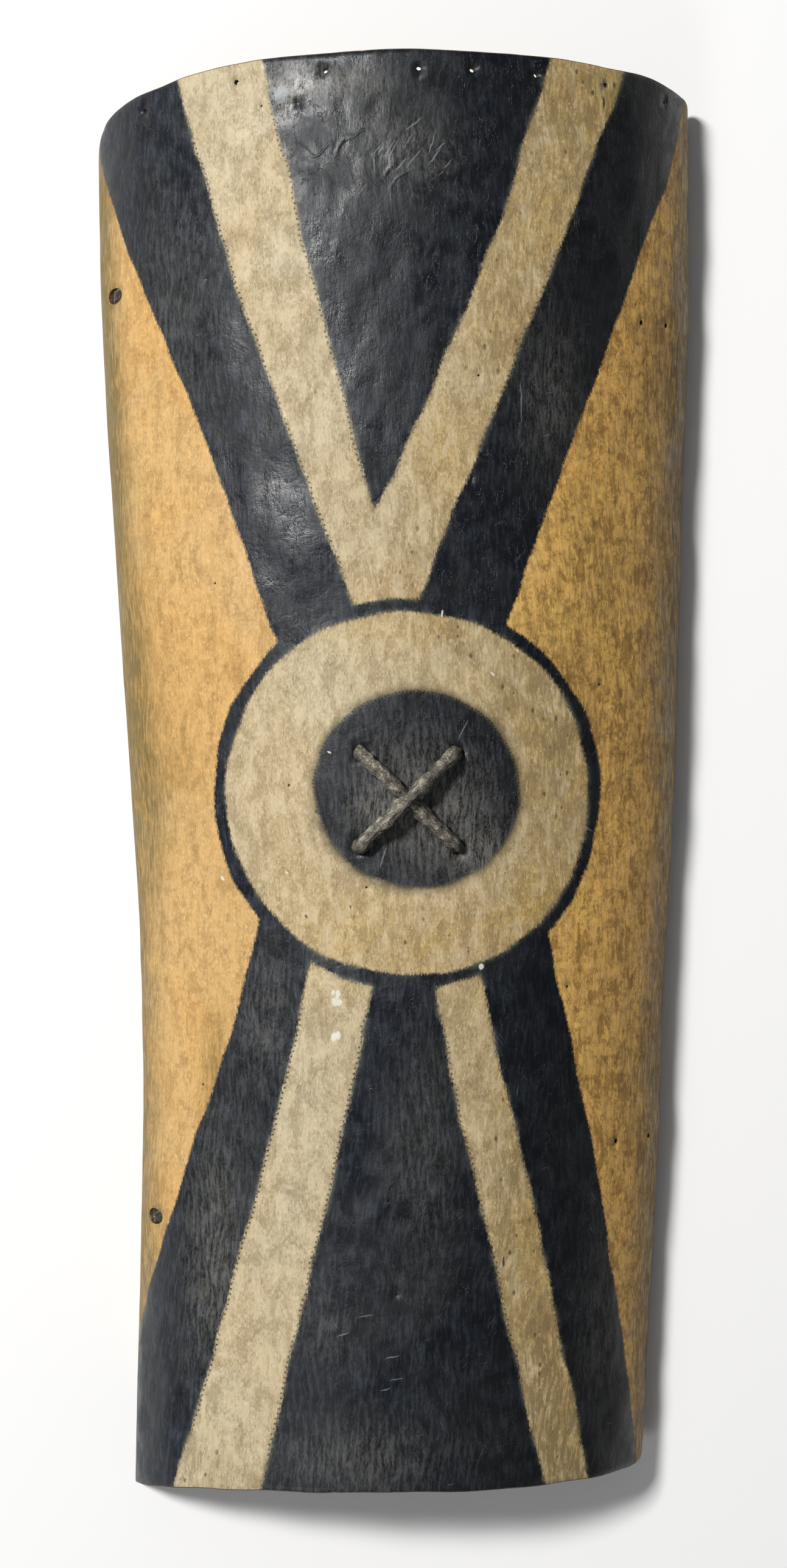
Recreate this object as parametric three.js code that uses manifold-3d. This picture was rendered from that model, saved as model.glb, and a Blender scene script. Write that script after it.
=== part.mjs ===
import * as THREE from 'three';
import { mergeVertices } from 'three/addons/utils/BufferGeometryUtils.js';
import Module from 'manifold-3d';

// A tall painted hide shield, in millimetres. The dried hide is bent to half an ellipse, and the
// shield lies face up on its two long edges: +Z out of the painted face, +Y towards its top end
// and +X to the right of someone facing it. The origin is under the middle of its box.

// The sheet of hide
const LENGTH = 1200; // along the crown, the line along the middle of the face
const WIDTH = 524; // across the long edges, near the top end
const THICKNESS = 6;
const RISE_TOP = 170; // height of the crown over the long edges, at the top end
const RISE_BOTTOM = 140;
const COLUMNS = 32; // facets across the sheet
const ROWS = 34; // facets along it

// The long edges, as shares of the width from the middle, at even steps from bottom to top
const LEFT_EDGE = [-0.439, -0.43, -0.427, -0.449, -0.474, -0.496, -0.502];
const RIGHT_EDGE = [0.419, 0.441, 0.456, 0.476, 0.486, 0.498, 0.498];

// Each corner: how far it stands beyond the end of the crown, and the radius it is cut to
const CORNERS = {
  top: { left: { beyond: -42, radius: 70 }, right: { beyond: -7, radius: 20 } },
  bottom: { left: { beyond: 28, radius: 12 }, right: { beyond: 2, radius: 24 } },
};

// Holes through the hide, each by its angle round the section from the crown and its height
const LACE_RADIUS = 2.2;
const LACE_INSET = 16; // below the top edge
const TOP_LACES = [-54, -30, -12.5, 4.6, 14.4, 27, 43, 63];
const EDGE_LACES = [[54.3, 387], [64.5, 389], [53.6, -312], [69.1, -313]];
const PEGS = { edge_peg_upper: [-67.5, 416], edge_peg_lower: [-66.8, -382] };
const PEG_RADIUS = 4;
const PEG_HEAD = 7.5;

// The crossed lashing in the middle of the face, and the grip that it holds behind
const CROSSING = { x: 12, y: -19.5 };
const LASH_X = 40; // from the crossing to each of its four holes, across
const LASH_Y = 39; // and along
const CORD_RADIUS = 6.2;
const GRIP_LENGTH = 160;
const GRIP_WIDTH = 24;
const GRIP_DEPTH = 16;
const FINGER_GAP = 36; // between the grip and the hide
const LASH_HOLE_RADIUS = 7.6; // leaves room for the cord to bend as it comes through
const GAP = 0.4; // kept between neighbouring solids
const BORER = 36; // length of the bars that the holes are cut with

const wasm = await Module();
wasm.setup();

// ---------------------------------------------------------------- the curved surface

// The value at height y of a smooth curve through values spaced evenly from end to end
function along(values, y) {
  const last = values.length - 1;
  const place = THREE.MathUtils.clamp(y / LENGTH + 0.5, -0.03, 1.03) * last;
  const first = THREE.MathUtils.clamp(Math.floor(place), 0, last - 1);
  const t = place - first;
  const [b, c] = [values[first], values[first + 1]];
  const a = values[first - 1] ?? 2 * b - c;
  const d = values[first + 2] ?? 2 * c - b;
  const bend = 2 * a - 5 * b + 4 * c - d;
  const twist = 3 * (b - c) + d - a;
  return 0.5 * (2 * b + (c - a) * t + bend * t ** 2 + twist * t ** 3);
}

// The half ellipse that the face follows at height y
function section(y) {
  const left = WIDTH * along(LEFT_EDGE, y);
  const right = WIDTH * along(RIGHT_EDGE, y);
  const rise = THREE.MathUtils.lerp(RISE_BOTTOM, RISE_TOP, y / LENGTH + 0.5);
  return { centre: (left + right) / 2, half: (right - left) / 2, rise };
}

// The way out of the face at an angle round the section
function outward(angle, y) {
  const { half, rise } = section(y);
  return new THREE.Vector3(Math.sin(angle) / half, 0, Math.cos(angle) / rise).normalize();
}

// A point of the hide, a depth below its face
function hidePoint(angle, y, depth) {
  const { centre, half, rise } = section(y);
  const face = new THREE.Vector3(centre + half * Math.sin(angle), y, rise * Math.cos(angle));
  return face.addScaledVector(outward(angle, y), -depth);
}

// Height of the face over the point x, y
function faceHeight(x, y) {
  const { centre, half, rise } = section(y);
  return rise * Math.sqrt(1 - ((x - centre) / half) ** 2);
}

// Height along the shield of its end edge: way is 1 at the top and -1 at the bottom
function endHeight(angle, way) {
  const corners = way > 0 ? CORNERS.top : CORNERS.bottom;
  const { beyond, radius } = angle < 0 ? corners.left : corners.right;
  const { half, rise } = section((way * LENGTH) / 2);
  const inFromEdge = Math.hypot(half * (1 - Math.abs(Math.sin(angle))), rise * Math.cos(angle));
  const short = Math.max(radius - inFromEdge, 0);
  const rounding = radius - Math.sqrt(radius ** 2 - short ** 2);
  return way * (LENGTH / 2 + beyond * (1 - Math.cos(angle)) - rounding);
}

// ---------------------------------------------------------------- solids

// A solid for cutting and joining, from a closed geometry
function solid(geometry) {
  const bare = geometry.index ? geometry.clone() : geometry;
  bare.deleteAttribute('normal');
  bare.deleteAttribute('uv');
  const merged = mergeVertices(bare, 1e-4);
  return new wasm.Manifold(new wasm.Mesh({
    numProp: 3,
    vertProperties: new Float32Array(merged.attributes.position.array),
    triVerts: new Uint32Array(merged.index.array),
  }));
}

// The geometry of a solid
function surface(manifold) {
  const mesh = manifold.getMesh();
  const geometry = new THREE.BufferGeometry();
  geometry.setAttribute('position', new THREE.BufferAttribute(mesh.vertProperties, 3));
  geometry.setIndex(new THREE.BufferAttribute(mesh.triVerts, 1));
  geometry.computeVertexNormals();
  return geometry;
}

// A round bar with its middle at a point of the hide, square to the face
function barThroughHide(angle, y, radius, sides) {
  const bar = new THREE.CylinderGeometry(radius, radius, BORER, sides);
  const turn = new THREE.Quaternion().setFromUnitVectors(
    new THREE.Vector3(0, 1, 0),
    outward(angle, y),
  );
  bar.applyQuaternion(turn);
  bar.translate(...hidePoint(angle, y, THICKNESS / 2));
  return solid(bar);
}

// A tube of oval section along a smooth curve through points
function tube(points, width, depth, sides, steps) {
  const oval = [];
  for (let i = 0; i < sides; i += 1) {
    const turn = (2 * Math.PI * i) / sides;
    oval.push(new THREE.Vector2((width / 2) * Math.cos(turn), (depth / 2) * Math.sin(turn)));
  }
  return new THREE.ExtrudeGeometry(new THREE.Shape(oval), {
    steps,
    bevelEnabled: false,
    extrudePath: new THREE.CatmullRomCurve3(points),
  });
}

// ---------------------------------------------------------------- the pieces

// The sheet: a grid on the face, the same grid on the back, and a rim that joins them
function hideSheet() {
  const positions = [];
  for (const depth of [0, THICKNESS]) {
    for (let row = 0; row <= ROWS; row += 1) {
      for (let column = 0; column <= COLUMNS; column += 1) {
        const angle = Math.PI * (column / COLUMNS - 0.5);
        const y = THREE.MathUtils.lerp(endHeight(angle, -1), endHeight(angle, 1), row / ROWS);
        const point = hidePoint(angle, y, depth);
        positions.push(point.x, point.y, Math.max(point.z, 0));
      }
    }
  }
  const back = (ROWS + 1) * (COLUMNS + 1);
  const at = (column, row) => row * (COLUMNS + 1) + column;
  const index = [];
  const quad = (a, b, c, d) => index.push(a, b, c, a, c, d);
  for (let row = 0; row < ROWS; row += 1) {
    for (let column = 0; column < COLUMNS; column += 1) {
      const [a, b] = [at(column, row), at(column + 1, row)];
      const [c, d] = [at(column + 1, row + 1), at(column, row + 1)];
      quad(a, b, c, d);
      quad(back + a, back + d, back + c, back + b);
    }
  }
  const rim = (a, b) => quad(b, a, back + a, back + b);
  for (let column = 0; column < COLUMNS; column += 1) {
    rim(at(column, 0), at(column + 1, 0));
    rim(at(column + 1, ROWS), at(column, ROWS));
  }
  for (let row = 0; row < ROWS; row += 1) {
    rim(at(0, row + 1), at(0, row));
    rim(at(COLUMNS, row), at(COLUMNS, row + 1));
  }
  const geometry = new THREE.BufferGeometry();
  geometry.setAttribute('position', new THREE.Float32BufferAttribute(positions, 3));
  geometry.setIndex(index);

  let hide = solid(geometry);
  const radians = THREE.MathUtils.degToRad;
  for (const degrees of TOP_LACES) {
    const angle = radians(degrees);
    const y = endHeight(angle, 1) - LACE_INSET;
    hide = hide.subtract(barThroughHide(angle, y, LACE_RADIUS, 8));
  }
  for (const [degrees, y] of EDGE_LACES) {
    hide = hide.subtract(barThroughHide(radians(degrees), y, LACE_RADIUS, 8));
  }
  for (const [degrees, y] of Object.values(PEGS)) {
    hide = hide.subtract(barThroughHide(radians(degrees), y, PEG_RADIUS + GAP, 12));
  }
  for (const across of [-1, 1]) {
    for (const up of [-1, 1]) {
      const hole = lashHole(across, up);
      const bar = new THREE.CylinderGeometry(LASH_HOLE_RADIUS, LASH_HOLE_RADIUS, BORER, 14);
      bar.rotateX(Math.PI / 2);
      bar.translate(hole.x, hole.y, hole.z);
      hide = hide.subtract(solid(bar));
    }
  }
  return surface(hide);
}

// Where a lashing hole meets the face: across and up are -1 or 1
function lashHole(across, up) {
  const x = CROSSING.x + across * LASH_X;
  const y = CROSSING.y + up * LASH_Y;
  return new THREE.Vector3(x, y, faceHeight(x, y));
}

// One arm of the cross: up through a hole, over the face, down through the far hole, and
// behind the hide out to both feet of the grip. lift is its height over the crossing.
function lashing(across, lift) {
  const bend = CORD_RADIUS + 2;
  const start = lashHole(across, 1);
  const end = lashHole(-across, -1);
  const middle = new THREE.Vector3(CROSSING.x, CROSSING.y, 0);
  middle.z = faceHeight(middle.x, middle.y) + lift;

  // from a hole's mouth on the face, round the bend towards the crossing
  const overFace = (hole) => {
    const inward = middle.clone().sub(hole).setZ(0).normalize();
    const flat = hole.clone().addScaledVector(inward, bend);
    const shoulder = faceHeight(flat.x, flat.y) + Math.max(CORD_RADIUS + GAP, lift / 2);
    return [
      hole.clone().setZ(hole.z - THICKNESS / 2),
      hole.clone().addScaledVector(inward, bend * 0.25).setZ(hole.z + bend * 0.6),
      flat.setZ(shoulder),
    ];
  };
  // from a hole's mouth on the back, round the bend towards the side of the grip's foot
  const behind = (hole, side, up) => {
    const foot = new THREE.Vector3(
      CROSSING.x + side * (GRIP_WIDTH / 2 + CORD_RADIUS),
      CROSSING.y + up * GRIP_LENGTH * 0.42,
      0,
    );
    const outwards = foot.clone().sub(hole).setZ(0).normalize();
    const turned = hole.clone().addScaledVector(outwards, bend * 1.3);
    const belowHide = (point) => faceHeight(point.x, point.y) - THICKNESS - bend - GAP;
    return [
      hole.clone().addScaledVector(outwards, bend * 0.3).setZ(belowHide(hole) + bend * 0.25),
      turned.setZ(belowHide(turned)),
      foot.setZ(belowHide(foot)),
    ];
  };
  const points = [
    ...behind(start, across, 1).reverse(),
    ...overFace(start),
    middle,
    ...overFace(end).reverse(),
    ...behind(end, -across, -1),
  ];
  return tube(points, 2 * CORD_RADIUS, 2 * CORD_RADIUS, 10, 56);
}

// The grip: a bowed bar along the shield, its feet close to the back of the hide
function handGrip() {
  const shape = [[0.5, 0], [0.39, 0.02], [0.29, 0.25], [0.19, 0.8], [0, 1]];
  const bow = [...shape, ...shape.slice(0, -1).map(([out, drop]) => [-out, drop]).reverse()];
  const points = bow.map(([out, drop]) => {
    const y = CROSSING.y + out * GRIP_LENGTH;
    const foot = section(y).rise - THICKNESS - 2 * GAP - GRIP_DEPTH / 2;
    return new THREE.Vector3(CROSSING.x, y, foot - drop * FINGER_GAP);
  });
  return tube(points, GRIP_WIDTH, GRIP_DEPTH, 12, 28);
}

// A peg of twisted hide: a neck through the hole, a domed head outside and a knob inside
function edgePeg(degrees, y) {
  const neck = THICKNESS / 2 + 2 * GAP;
  const outline = [
    [0, -neck - 6],
    [4.5, -neck - 5],
    [6, -neck - 2.5],
    [5.5, -neck],
    [PEG_RADIUS, -neck],
    [PEG_RADIUS, neck],
    [PEG_HEAD, neck],
    [PEG_HEAD * 0.95, neck + 3],
    [PEG_HEAD * 0.6, neck + 5.5],
    [0, neck + 6.5],
  ];
  const geometry = new THREE.LatheGeometry(outline.map(([r, h]) => new THREE.Vector2(r, h)), 14);
  const angle = THREE.MathUtils.degToRad(degrees);
  const turn = new THREE.Quaternion().setFromUnitVectors(
    new THREE.Vector3(0, 1, 0),
    outward(angle, y),
  );
  geometry.applyQuaternion(turn);
  geometry.translate(...hidePoint(angle, y, THICKNESS / 2));
  return surface(solid(geometry));
}

const paintedHide = new THREE.MeshStandardMaterial({ color: 0x3c4043, roughness: 0.6 });
const rawhide = new THREE.MeshStandardMaterial({ color: 0x6b6156, roughness: 0.85 });
const gripHide = new THREE.MeshStandardMaterial({ color: 0x5d4630, roughness: 0.75 });

const shield = new THREE.Group();
function add(name, geometry, material) {
  const mesh = new THREE.Mesh(geometry, material);
  mesh.name = name;
  shield.add(mesh);
}

add('hide_sheet', hideSheet(), paintedHide);
add('lashing_under', lashing(-1, CORD_RADIUS + GAP), rawhide);
add('lashing_over', lashing(1, 3 * CORD_RADIUS + 2 * GAP), rawhide);
add('hand_grip', handGrip(), gripHide);
for (const [name, [degrees, y]] of Object.entries(PEGS)) {
  add(name, edgePeg(degrees, y), rawhide);
}

const box = new THREE.Box3().setFromObject(shield);
const middle = box.getCenter(new THREE.Vector3());
shield.position.set(-middle.x, -middle.y, -box.min.z);

export default shield;
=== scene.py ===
"""A tall painted hide shield, lying face up on a pale floor.

Laid out as an add-on: each piece has an operator, and the sidebar's Shield tab lists them.
Metres throughout. +Z leaves the painted face, +Y runs to the shield's top end.
"""

import bmesh
import bpy
import numpy as np
from bpy.props import FloatProperty, FloatVectorProperty, IntProperty, PointerProperty
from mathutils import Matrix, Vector


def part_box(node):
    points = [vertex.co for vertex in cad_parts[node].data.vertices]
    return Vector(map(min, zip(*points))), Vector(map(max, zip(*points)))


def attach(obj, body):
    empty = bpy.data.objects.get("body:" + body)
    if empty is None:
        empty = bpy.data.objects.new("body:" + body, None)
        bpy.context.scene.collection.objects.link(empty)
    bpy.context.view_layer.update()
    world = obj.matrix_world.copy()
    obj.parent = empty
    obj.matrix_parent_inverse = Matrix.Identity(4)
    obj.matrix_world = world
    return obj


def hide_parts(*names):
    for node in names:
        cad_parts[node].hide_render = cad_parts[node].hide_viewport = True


bl_info = {
    "name": "Painted Hide Shield",
    "version": (1, 0, 0),
    "blender": (4, 5, 0),
    "location": "3D View > Sidebar > Shield",
    "description": "Builds a tall half-round hide shield with its lashing, grip and pegs",
    "category": "Add Mesh",
}

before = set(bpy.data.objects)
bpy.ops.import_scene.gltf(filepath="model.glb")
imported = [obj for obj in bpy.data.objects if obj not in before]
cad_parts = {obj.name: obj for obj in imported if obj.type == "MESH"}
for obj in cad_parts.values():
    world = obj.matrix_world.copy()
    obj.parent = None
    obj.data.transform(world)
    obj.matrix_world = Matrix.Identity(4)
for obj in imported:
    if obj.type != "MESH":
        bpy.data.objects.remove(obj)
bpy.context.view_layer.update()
HIDE_LOW, HIDE_HIGH = (np.array(corner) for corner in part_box("hide_sheet"))
GRIP_LOW, GRIP_HIGH = (np.array(corner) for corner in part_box("hand_grip"))
PEG_NAMES = ("edge_peg_upper", "edge_peg_lower")


def srgb(red, green, blue):
    """A colour given as 0 to 255 screen values, as the linear values that shaders take."""
    share = np.array([red, green, blue]) / 255
    linear = np.where(share <= 0.04045, share / 12.92, ((share + 0.055) / 1.055) ** 2.4)
    return tuple(float(value) for value in linear)


def colour(name, description, default):
    """A colour that a user may change."""
    return FloatVectorProperty(
        name=name, description=description, default=default, subtype="COLOR", size=3, min=0, max=1
    )


def length(name, description, default):
    """A length that a user may change."""
    return FloatProperty(
        name=name, description=description, default=default, unit="LENGTH", precision=4
    )


# ------------------------------------------------------------------------------- settings


class HideSettings(bpy.types.PropertyGroup):
    """Sizes of the sheet of hide."""

    crown: length("Crown length", "Length along the middle of the face", 1.2)
    width: length("Width", "Across the long edges, near the top end", 0.524)
    thickness: length("Thickness", "Thickness of the dried hide", 0.006)
    rise_top: length("Rise at the top", "Crown over the long edges, at the top end", 0.17)
    rise_bottom: length("Rise at the bottom", "Crown over the long edges, bottom end", 0.14)
    lip: length("Lip", "How far the worn rim is rounded over", 0.0012)
    sway: length("Sway", "Size of the slow dents and swellings in the face", 0.0009)
    columns: IntProperty(name="Columns", description="Facets across", default=164, min=40)
    rows: IntProperty(name="Rows", description="Facets along", default=280, min=60)


class PaintSettings(bpy.types.PropertyGroup):
    """Colours of the painted face and the bare hide."""

    black: colour("Black", "Waxy black ground", srgb(13, 18, 27))
    black_worn: colour("Worn black", "Black where it is rubbed thin", srgb(112, 109, 102))
    pale: colour("Pale", "Beige of the bands and the ring", srgb(186, 172, 142))
    pale_soiled: colour("Soiled pale", "Beige under grime", srgb(138, 118, 80))
    ochre: colour("Ochre", "Yellow ochre of the sides", srgb(202, 166, 110))
    ochre_soiled: colour("Soiled ochre", "Ochre under grime", srgb(118, 98, 46))
    chalk: colour("Chalk", "Flakes and dabs of white", srgb(222, 220, 210))
    bare: colour("Bare hide", "Unpainted hide of the back", srgb(150, 116, 74))
    bare_dark: colour("Dark bare hide", "Stained hide of the back", srgb(84, 60, 38))


class LashingSettings(bpy.types.PropertyGroup):
    """The crossed lashing, the grip that it holds and the pegs."""

    cord: length("Cord thickness", "Thickness of the rawhide thong where it swells", 0.0138)
    spread_x: length("Spread across", "From the crossing to each hole, across", 0.04)
    spread_y: length("Spread along", "From the crossing to each hole, along", 0.039)
    wrap: length("Wrap", "Width of the strip bound round the grip", 0.0085)
    peg: length("Peg radius", "Radius of the wads by the left edge", 0.0068)
    thong: colour("Thong", "Grey-brown rawhide", srgb(104, 99, 88))
    # on the thong this pale colour is partly painted highlight, on the side facing the lamp
    thong_rubbed_and_lit: colour("Rubbed thong", "Rawhide rubbed pale", srgb(190, 184, 164))
    grip: colour("Grip", "Handled hide strip", srgb(104, 72, 44))


class StageSettings(bpy.types.PropertyGroup):
    """Floor, camera and lights."""

    floor: colour("Floor", "Plain pale floor", (0.9, 0.9, 0.9))
    height: length("Camera height", "Lens above the floor", 2.255)
    lens: FloatProperty(name="Lens", description="Focal length in mm", default=58.06)
    key: FloatProperty(name="Key", description="Power of the main lamp, W", default=335, unit="POWER")
    air: FloatProperty(name="Air", description="Strength of the light all round", default=0.145)


SETTINGS = {
    "shield_hide": HideSettings,
    "shield_paint": PaintSettings,
    "shield_lashing": LashingSettings,
    "shield_stage": StageSettings,
}


# ------------------------------------------------------------------- the shape of the hide

# The long edges, as shares of the width from the middle, at even steps from bottom to top
LEFT_EDGE = (-0.439, -0.43, -0.427, -0.449, -0.474, -0.496, -0.502)
RIGHT_EDGE = (0.419, 0.441, 0.456, 0.476, 0.486, 0.498, 0.498)
# Each corner: how far it stands beyond the end of the crown, and the radius it is cut to
CORNERS = {
    (1, -1): (-0.042, 0.07),
    (1, 1): (-0.007, 0.02),
    (-1, -1): (0.028, 0.012),
    (-1, 1): (0.002, 0.024),
}


def smooth_steps(values, place):
    """A smooth curve through evenly spaced values: the Catmull-Rom cubic of the four values
    round each place, where place counts from 0 at the first value."""
    values = np.asarray(values, float)
    padded = np.r_[2 * values[0] - values[1], values, 2 * values[-1] - values[-2]]
    first = np.clip(np.floor(place).astype(int), 0, len(values) - 2)
    t = place - first
    a, b, c, d = (padded[first + i] for i in range(4))
    bend = 2 * a - 5 * b + 4 * c - d
    twist = 3 * (b - c) + d - a
    return 0.5 * (2 * b + (c - a) * t + bend * t**2 + twist * t**3)


def waves(u, v, size, seed, count=28):
    """Smooth random swellings of about the given size: the sum of plane waves in random
    directions with random phases, scaled to a spread of about 1."""
    draw = np.random.default_rng(seed)
    turn = draw.uniform(0, 2 * np.pi, count)
    phase = draw.uniform(0, 2 * np.pi, count)
    pace = 2 * np.pi / (size * draw.uniform(0.7, 1.6, count))
    total = np.zeros(np.broadcast(u, v).shape)
    for angle, shift, rate in zip(turn, phase, pace):
        total += np.sin(rate * (u * np.cos(angle) + v * np.sin(angle)) + shift)
    return total * np.sqrt(2 / count)


class Hide:
    """The curved face as a function of the angle round its section and the height y."""

    def __init__(self, sizes):
        self.sizes = sizes
        self.top = HIDE_HIGH[1]
        self.middle = self.top - sizes.crown / 2
        y = np.linspace(HIDE_LOW[1], HIDE_HIGH[1], 400)
        self.aside = 0.0
        left, right = self.edges(y)
        self.aside = -(left.min() + right.max()) / 2

    def share(self, y):
        """How far up the crown the height y is: 0 at the bottom end and 1 at the top."""
        return (y - self.middle) / self.sizes.crown + 0.5

    def edges(self, y):
        """The two long edges at height y."""
        place = np.clip(self.share(y), -0.03, 1.03) * (len(LEFT_EDGE) - 1)
        left = self.sizes.width * smooth_steps(LEFT_EDGE, place)
        right = self.sizes.width * smooth_steps(RIGHT_EDGE, place)
        return left + self.aside, right + self.aside

    def section(self, y):
        """Centre, half width and rise of the half ellipse at height y."""
        left, right = self.edges(y)
        sizes = self.sizes
        rise = sizes.rise_bottom + (sizes.rise_top - sizes.rise_bottom) * self.share(y)
        return (left + right) / 2, (right - left) / 2, rise

    def outward(self, angle, y):
        """The unit normal of the ellipse: sine over half width and cosine over rise."""
        _, half, rise = self.section(y)
        normal = np.stack([np.sin(angle) / half, np.zeros_like(angle * y), np.cos(angle) / rise], -1)
        return normal / np.linalg.norm(normal, axis=-1, keepdims=True)

    def face(self, angle, y, depth=0.0):
        """The point of the ellipse at an angle from the crown, moved a depth along the
        inward normal."""
        centre, half, rise = self.section(y)
        point = np.stack([centre + half * np.sin(angle), y + 0 * angle, rise * np.cos(angle)], -1)
        return point - np.asarray(depth)[..., None] * self.outward(angle, y)

    def pace(self, angle, y):
        """Distance along the section for each radian of the angle."""
        _, half, rise = self.section(y)
        return np.hypot(half * np.cos(angle), rise * np.sin(angle))

    def around(self, angle, y):
        """Distance along the section from the crown: the pace added up by Gauss's rule."""
        nodes, weights = np.polynomial.legendre.leggauss(12)
        total = np.zeros(np.broadcast(angle, y).shape)
        for node, weight in zip(nodes, weights):
            total += weight * self.pace(angle * (node + 1) / 2, y)
        return total * angle / 2

    def angle_at(self, around, y):
        """The angle whose distance from the crown is given, by Newton's steps."""
        angle = around / self.sizes.width * 2
        for _ in range(6):
            angle = angle - (self.around(angle, y) - around) / self.pace(angle, y)
        return angle

    def over(self, x, y):
        """Height of the face over the point x, y."""
        centre, half, rise = self.section(y)
        return rise * np.sqrt(1 - ((x - centre) / half) ** 2)

    def end(self, angle, way):
        """Height of the top (way 1) or bottom (way -1) end: level at the crown, sliding with
        one minus the cosine of the angle, and rounded off by a quarter circle at the corner."""
        ends = []
        _, half, rise = self.section(self.middle + way * self.sizes.crown / 2)
        inward = np.hypot(half * (1 - np.abs(np.sin(angle))), rise * np.cos(angle))
        for side in (-1, 1):
            beyond, radius = CORNERS[way, side]
            short = np.clip(radius - inward, 0, radius)
            rounding = radius - np.sqrt(radius**2 - short**2)
            ends.append(beyond * (1 - np.cos(angle)) - rounding)
        past = np.where(angle < 0, ends[0], ends[1])
        return self.middle + way * (self.sizes.crown / 2 + past)


# Broken places of the long edges: side, height along the shield, half length, depth
EDGE_BREAKS = (
    (1, -0.008, 0.012, 0.010),
    (1, -0.03, 0.016, 0.016),
    (1, 0.29, 0.006, 0.007),
    (-1, -0.235, 0.008, 0.006),
    (-1, -0.335, 0.02, 0.004),
    (1, -0.585, 0.012, 0.009),
    (-1, 0.46, 0.014, 0.004),
)


def edge_loss(y, side):
    """How far a long edge is broken back at height y: a low ripple and the broken places,
    each a bump with steep ends."""
    loss = 0.0007 * (1 + waves(y, 0 * y, 0.03, 41 + side)) + 0.0006
    for broken_side, centre, reach, depth in EDGE_BREAKS:
        if broken_side == side:
            loss = loss + depth / (1 + np.abs((y - centre) / reach) ** 6)
    return np.clip(loss, 0, None)


# Lace holes, where the CAD sheet has them: by angle from the crown along the top edge, and by
# angle and height near the right edge
TOP_LACES = (-54, -30, -12.5, 4.6, 14.4, 27, 43, 63)
SIDE_LACES = ((54.3, 0.4), (64.5, 0.402), (53.6, -0.3), (69.1, -0.3))
LACE_INSET = 0.016
LACE_RADIUS = 0.0022
LASH_HOLE_RADIUS = 0.0054
PIT_RADIUS = 0.0016
PIT_DEPTH = 1.6 * PIT_RADIUS


def pit_places():
    """Pin holes that don't go through, by distance round from the crown and height: twelve
    that swing from side to side up the sheet, and three in a row near the top left corner."""
    swinging = [(0.18 * np.sin(2.4 * i), -0.42 + 0.085 * i) for i in range(12)]
    return swinging + [(-0.08 - 0.016 * i, 0.57) for i in range(3)]


# How much longer the pegs and their holes are round the section than along it, and how far
# the pegs are sunk
PEG_DRAWN = 1.75
PEG_SUNK = 0.0011


def hole_list(hide):
    """Every hole as its angle, height, half width, half height and whether it goes through: the
    lace holes, the pits, the four that the lashing fills and the two that the pegs fill."""
    holes = []
    for degrees in TOP_LACES:
        angle = np.radians(degrees)
        holes.append((angle, hide.end(angle, 1) - LACE_INSET, LACE_RADIUS, LACE_RADIUS, True))
    for degrees, y in SIDE_LACES:
        holes.append((np.radians(degrees), y, LACE_RADIUS, LACE_RADIUS, True))
    for around, y in pit_places():
        holes.append((hide.angle_at(np.array(around), y), y, PIT_RADIUS, PIT_RADIUS, False))
    for x, y in lash_holes():
        centre, half, _ = hide.section(y)
        holes.append((np.arcsin((x - centre) / half), y, LASH_HOLE_RADIUS, LASH_HOLE_RADIUS, True))
    peg = bpy.context.scene.shield_lashing.peg
    for name in PEG_NAMES:
        angle, y = peg_place(hide, name)
        holes.append((angle, y, peg * PEG_DRAWN, peg, True))
    return holes


def peg_place(hide, name):
    """Angle and height at which a peg goes through the hide: the middle of its box."""
    low, high = (np.array(corner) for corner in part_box(name))
    x, y, z = (low + high) / 2
    centre, half, rise = hide.section(y)
    return np.arctan2((x - centre) / half, z / rise), y


def crossing():
    """Where the two arms of the lashing cross: over the middle of the grip."""
    return (GRIP_LOW[0] + GRIP_HIGH[0]) / 2, (GRIP_LOW[1] + GRIP_HIGH[1]) / 2


def lash_holes():
    """The four holes of the lashing, at the corners of a rectangle round the crossing."""
    x, y = crossing()
    sizes = bpy.context.scene.shield_lashing
    across, up = sizes.spread_x, sizes.spread_y
    return [(x + i * across, y + j * up) for j in (1, -1) for i in (-1, 1)]


# ------------------------------------------------------------------------ the painted design

# Borders of the painted bands, each a shallow curve: the height and the distance round from
# the crown where it starts by the ring, the same where it meets the rim, and its bow rightward
UPPER_OUTER_LEFT = (0.14, -0.11, 0.55, -0.3, 0.015)
UPPER_OUTER_RIGHT = (0.15, 0.095, 0.59, 0.295, -0.01)
UPPER_PALE_LEFT = (0.175, -0.045, 0.595, -0.19, -0.005)
WEDGE_LEFT = (0.23, -0.02, 0.6, -0.11, 0)
WEDGE_RIGHT = (0.23, -0.02, 0.6, 0.13, 0.01)
UPPER_PALE_RIGHT = (0.17, 0.02, 0.605, 0.205, 0)
LOWER_PALE_LEFT = ((-0.15, -0.08, -0.595, -0.195, 0.005), (-0.16, -0.025, -0.59, -0.11, 0))
LOWER_PALE_RIGHT = ((-0.165, 0.025, -0.58, 0.135, -0.005), (-0.165, 0.065, -0.585, 0.18, 0))
LOWER_OUTER_LEFT = (-0.11, -0.125, -0.47, -0.265, 0.012)
LOWER_OUTER_RIGHT = (-0.125, 0.125, -0.58, 0.245, 0)
# The ring and the disc: centre round and along, half width, half height
RING_OUTSIDE = (0.005, -0.002, 0.171, 0.162)
RING_INSIDE = (0.005, -0.002, 0.158, 0.151)
DISC = (0.012, 0.001, 0.086, 0.082)


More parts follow.
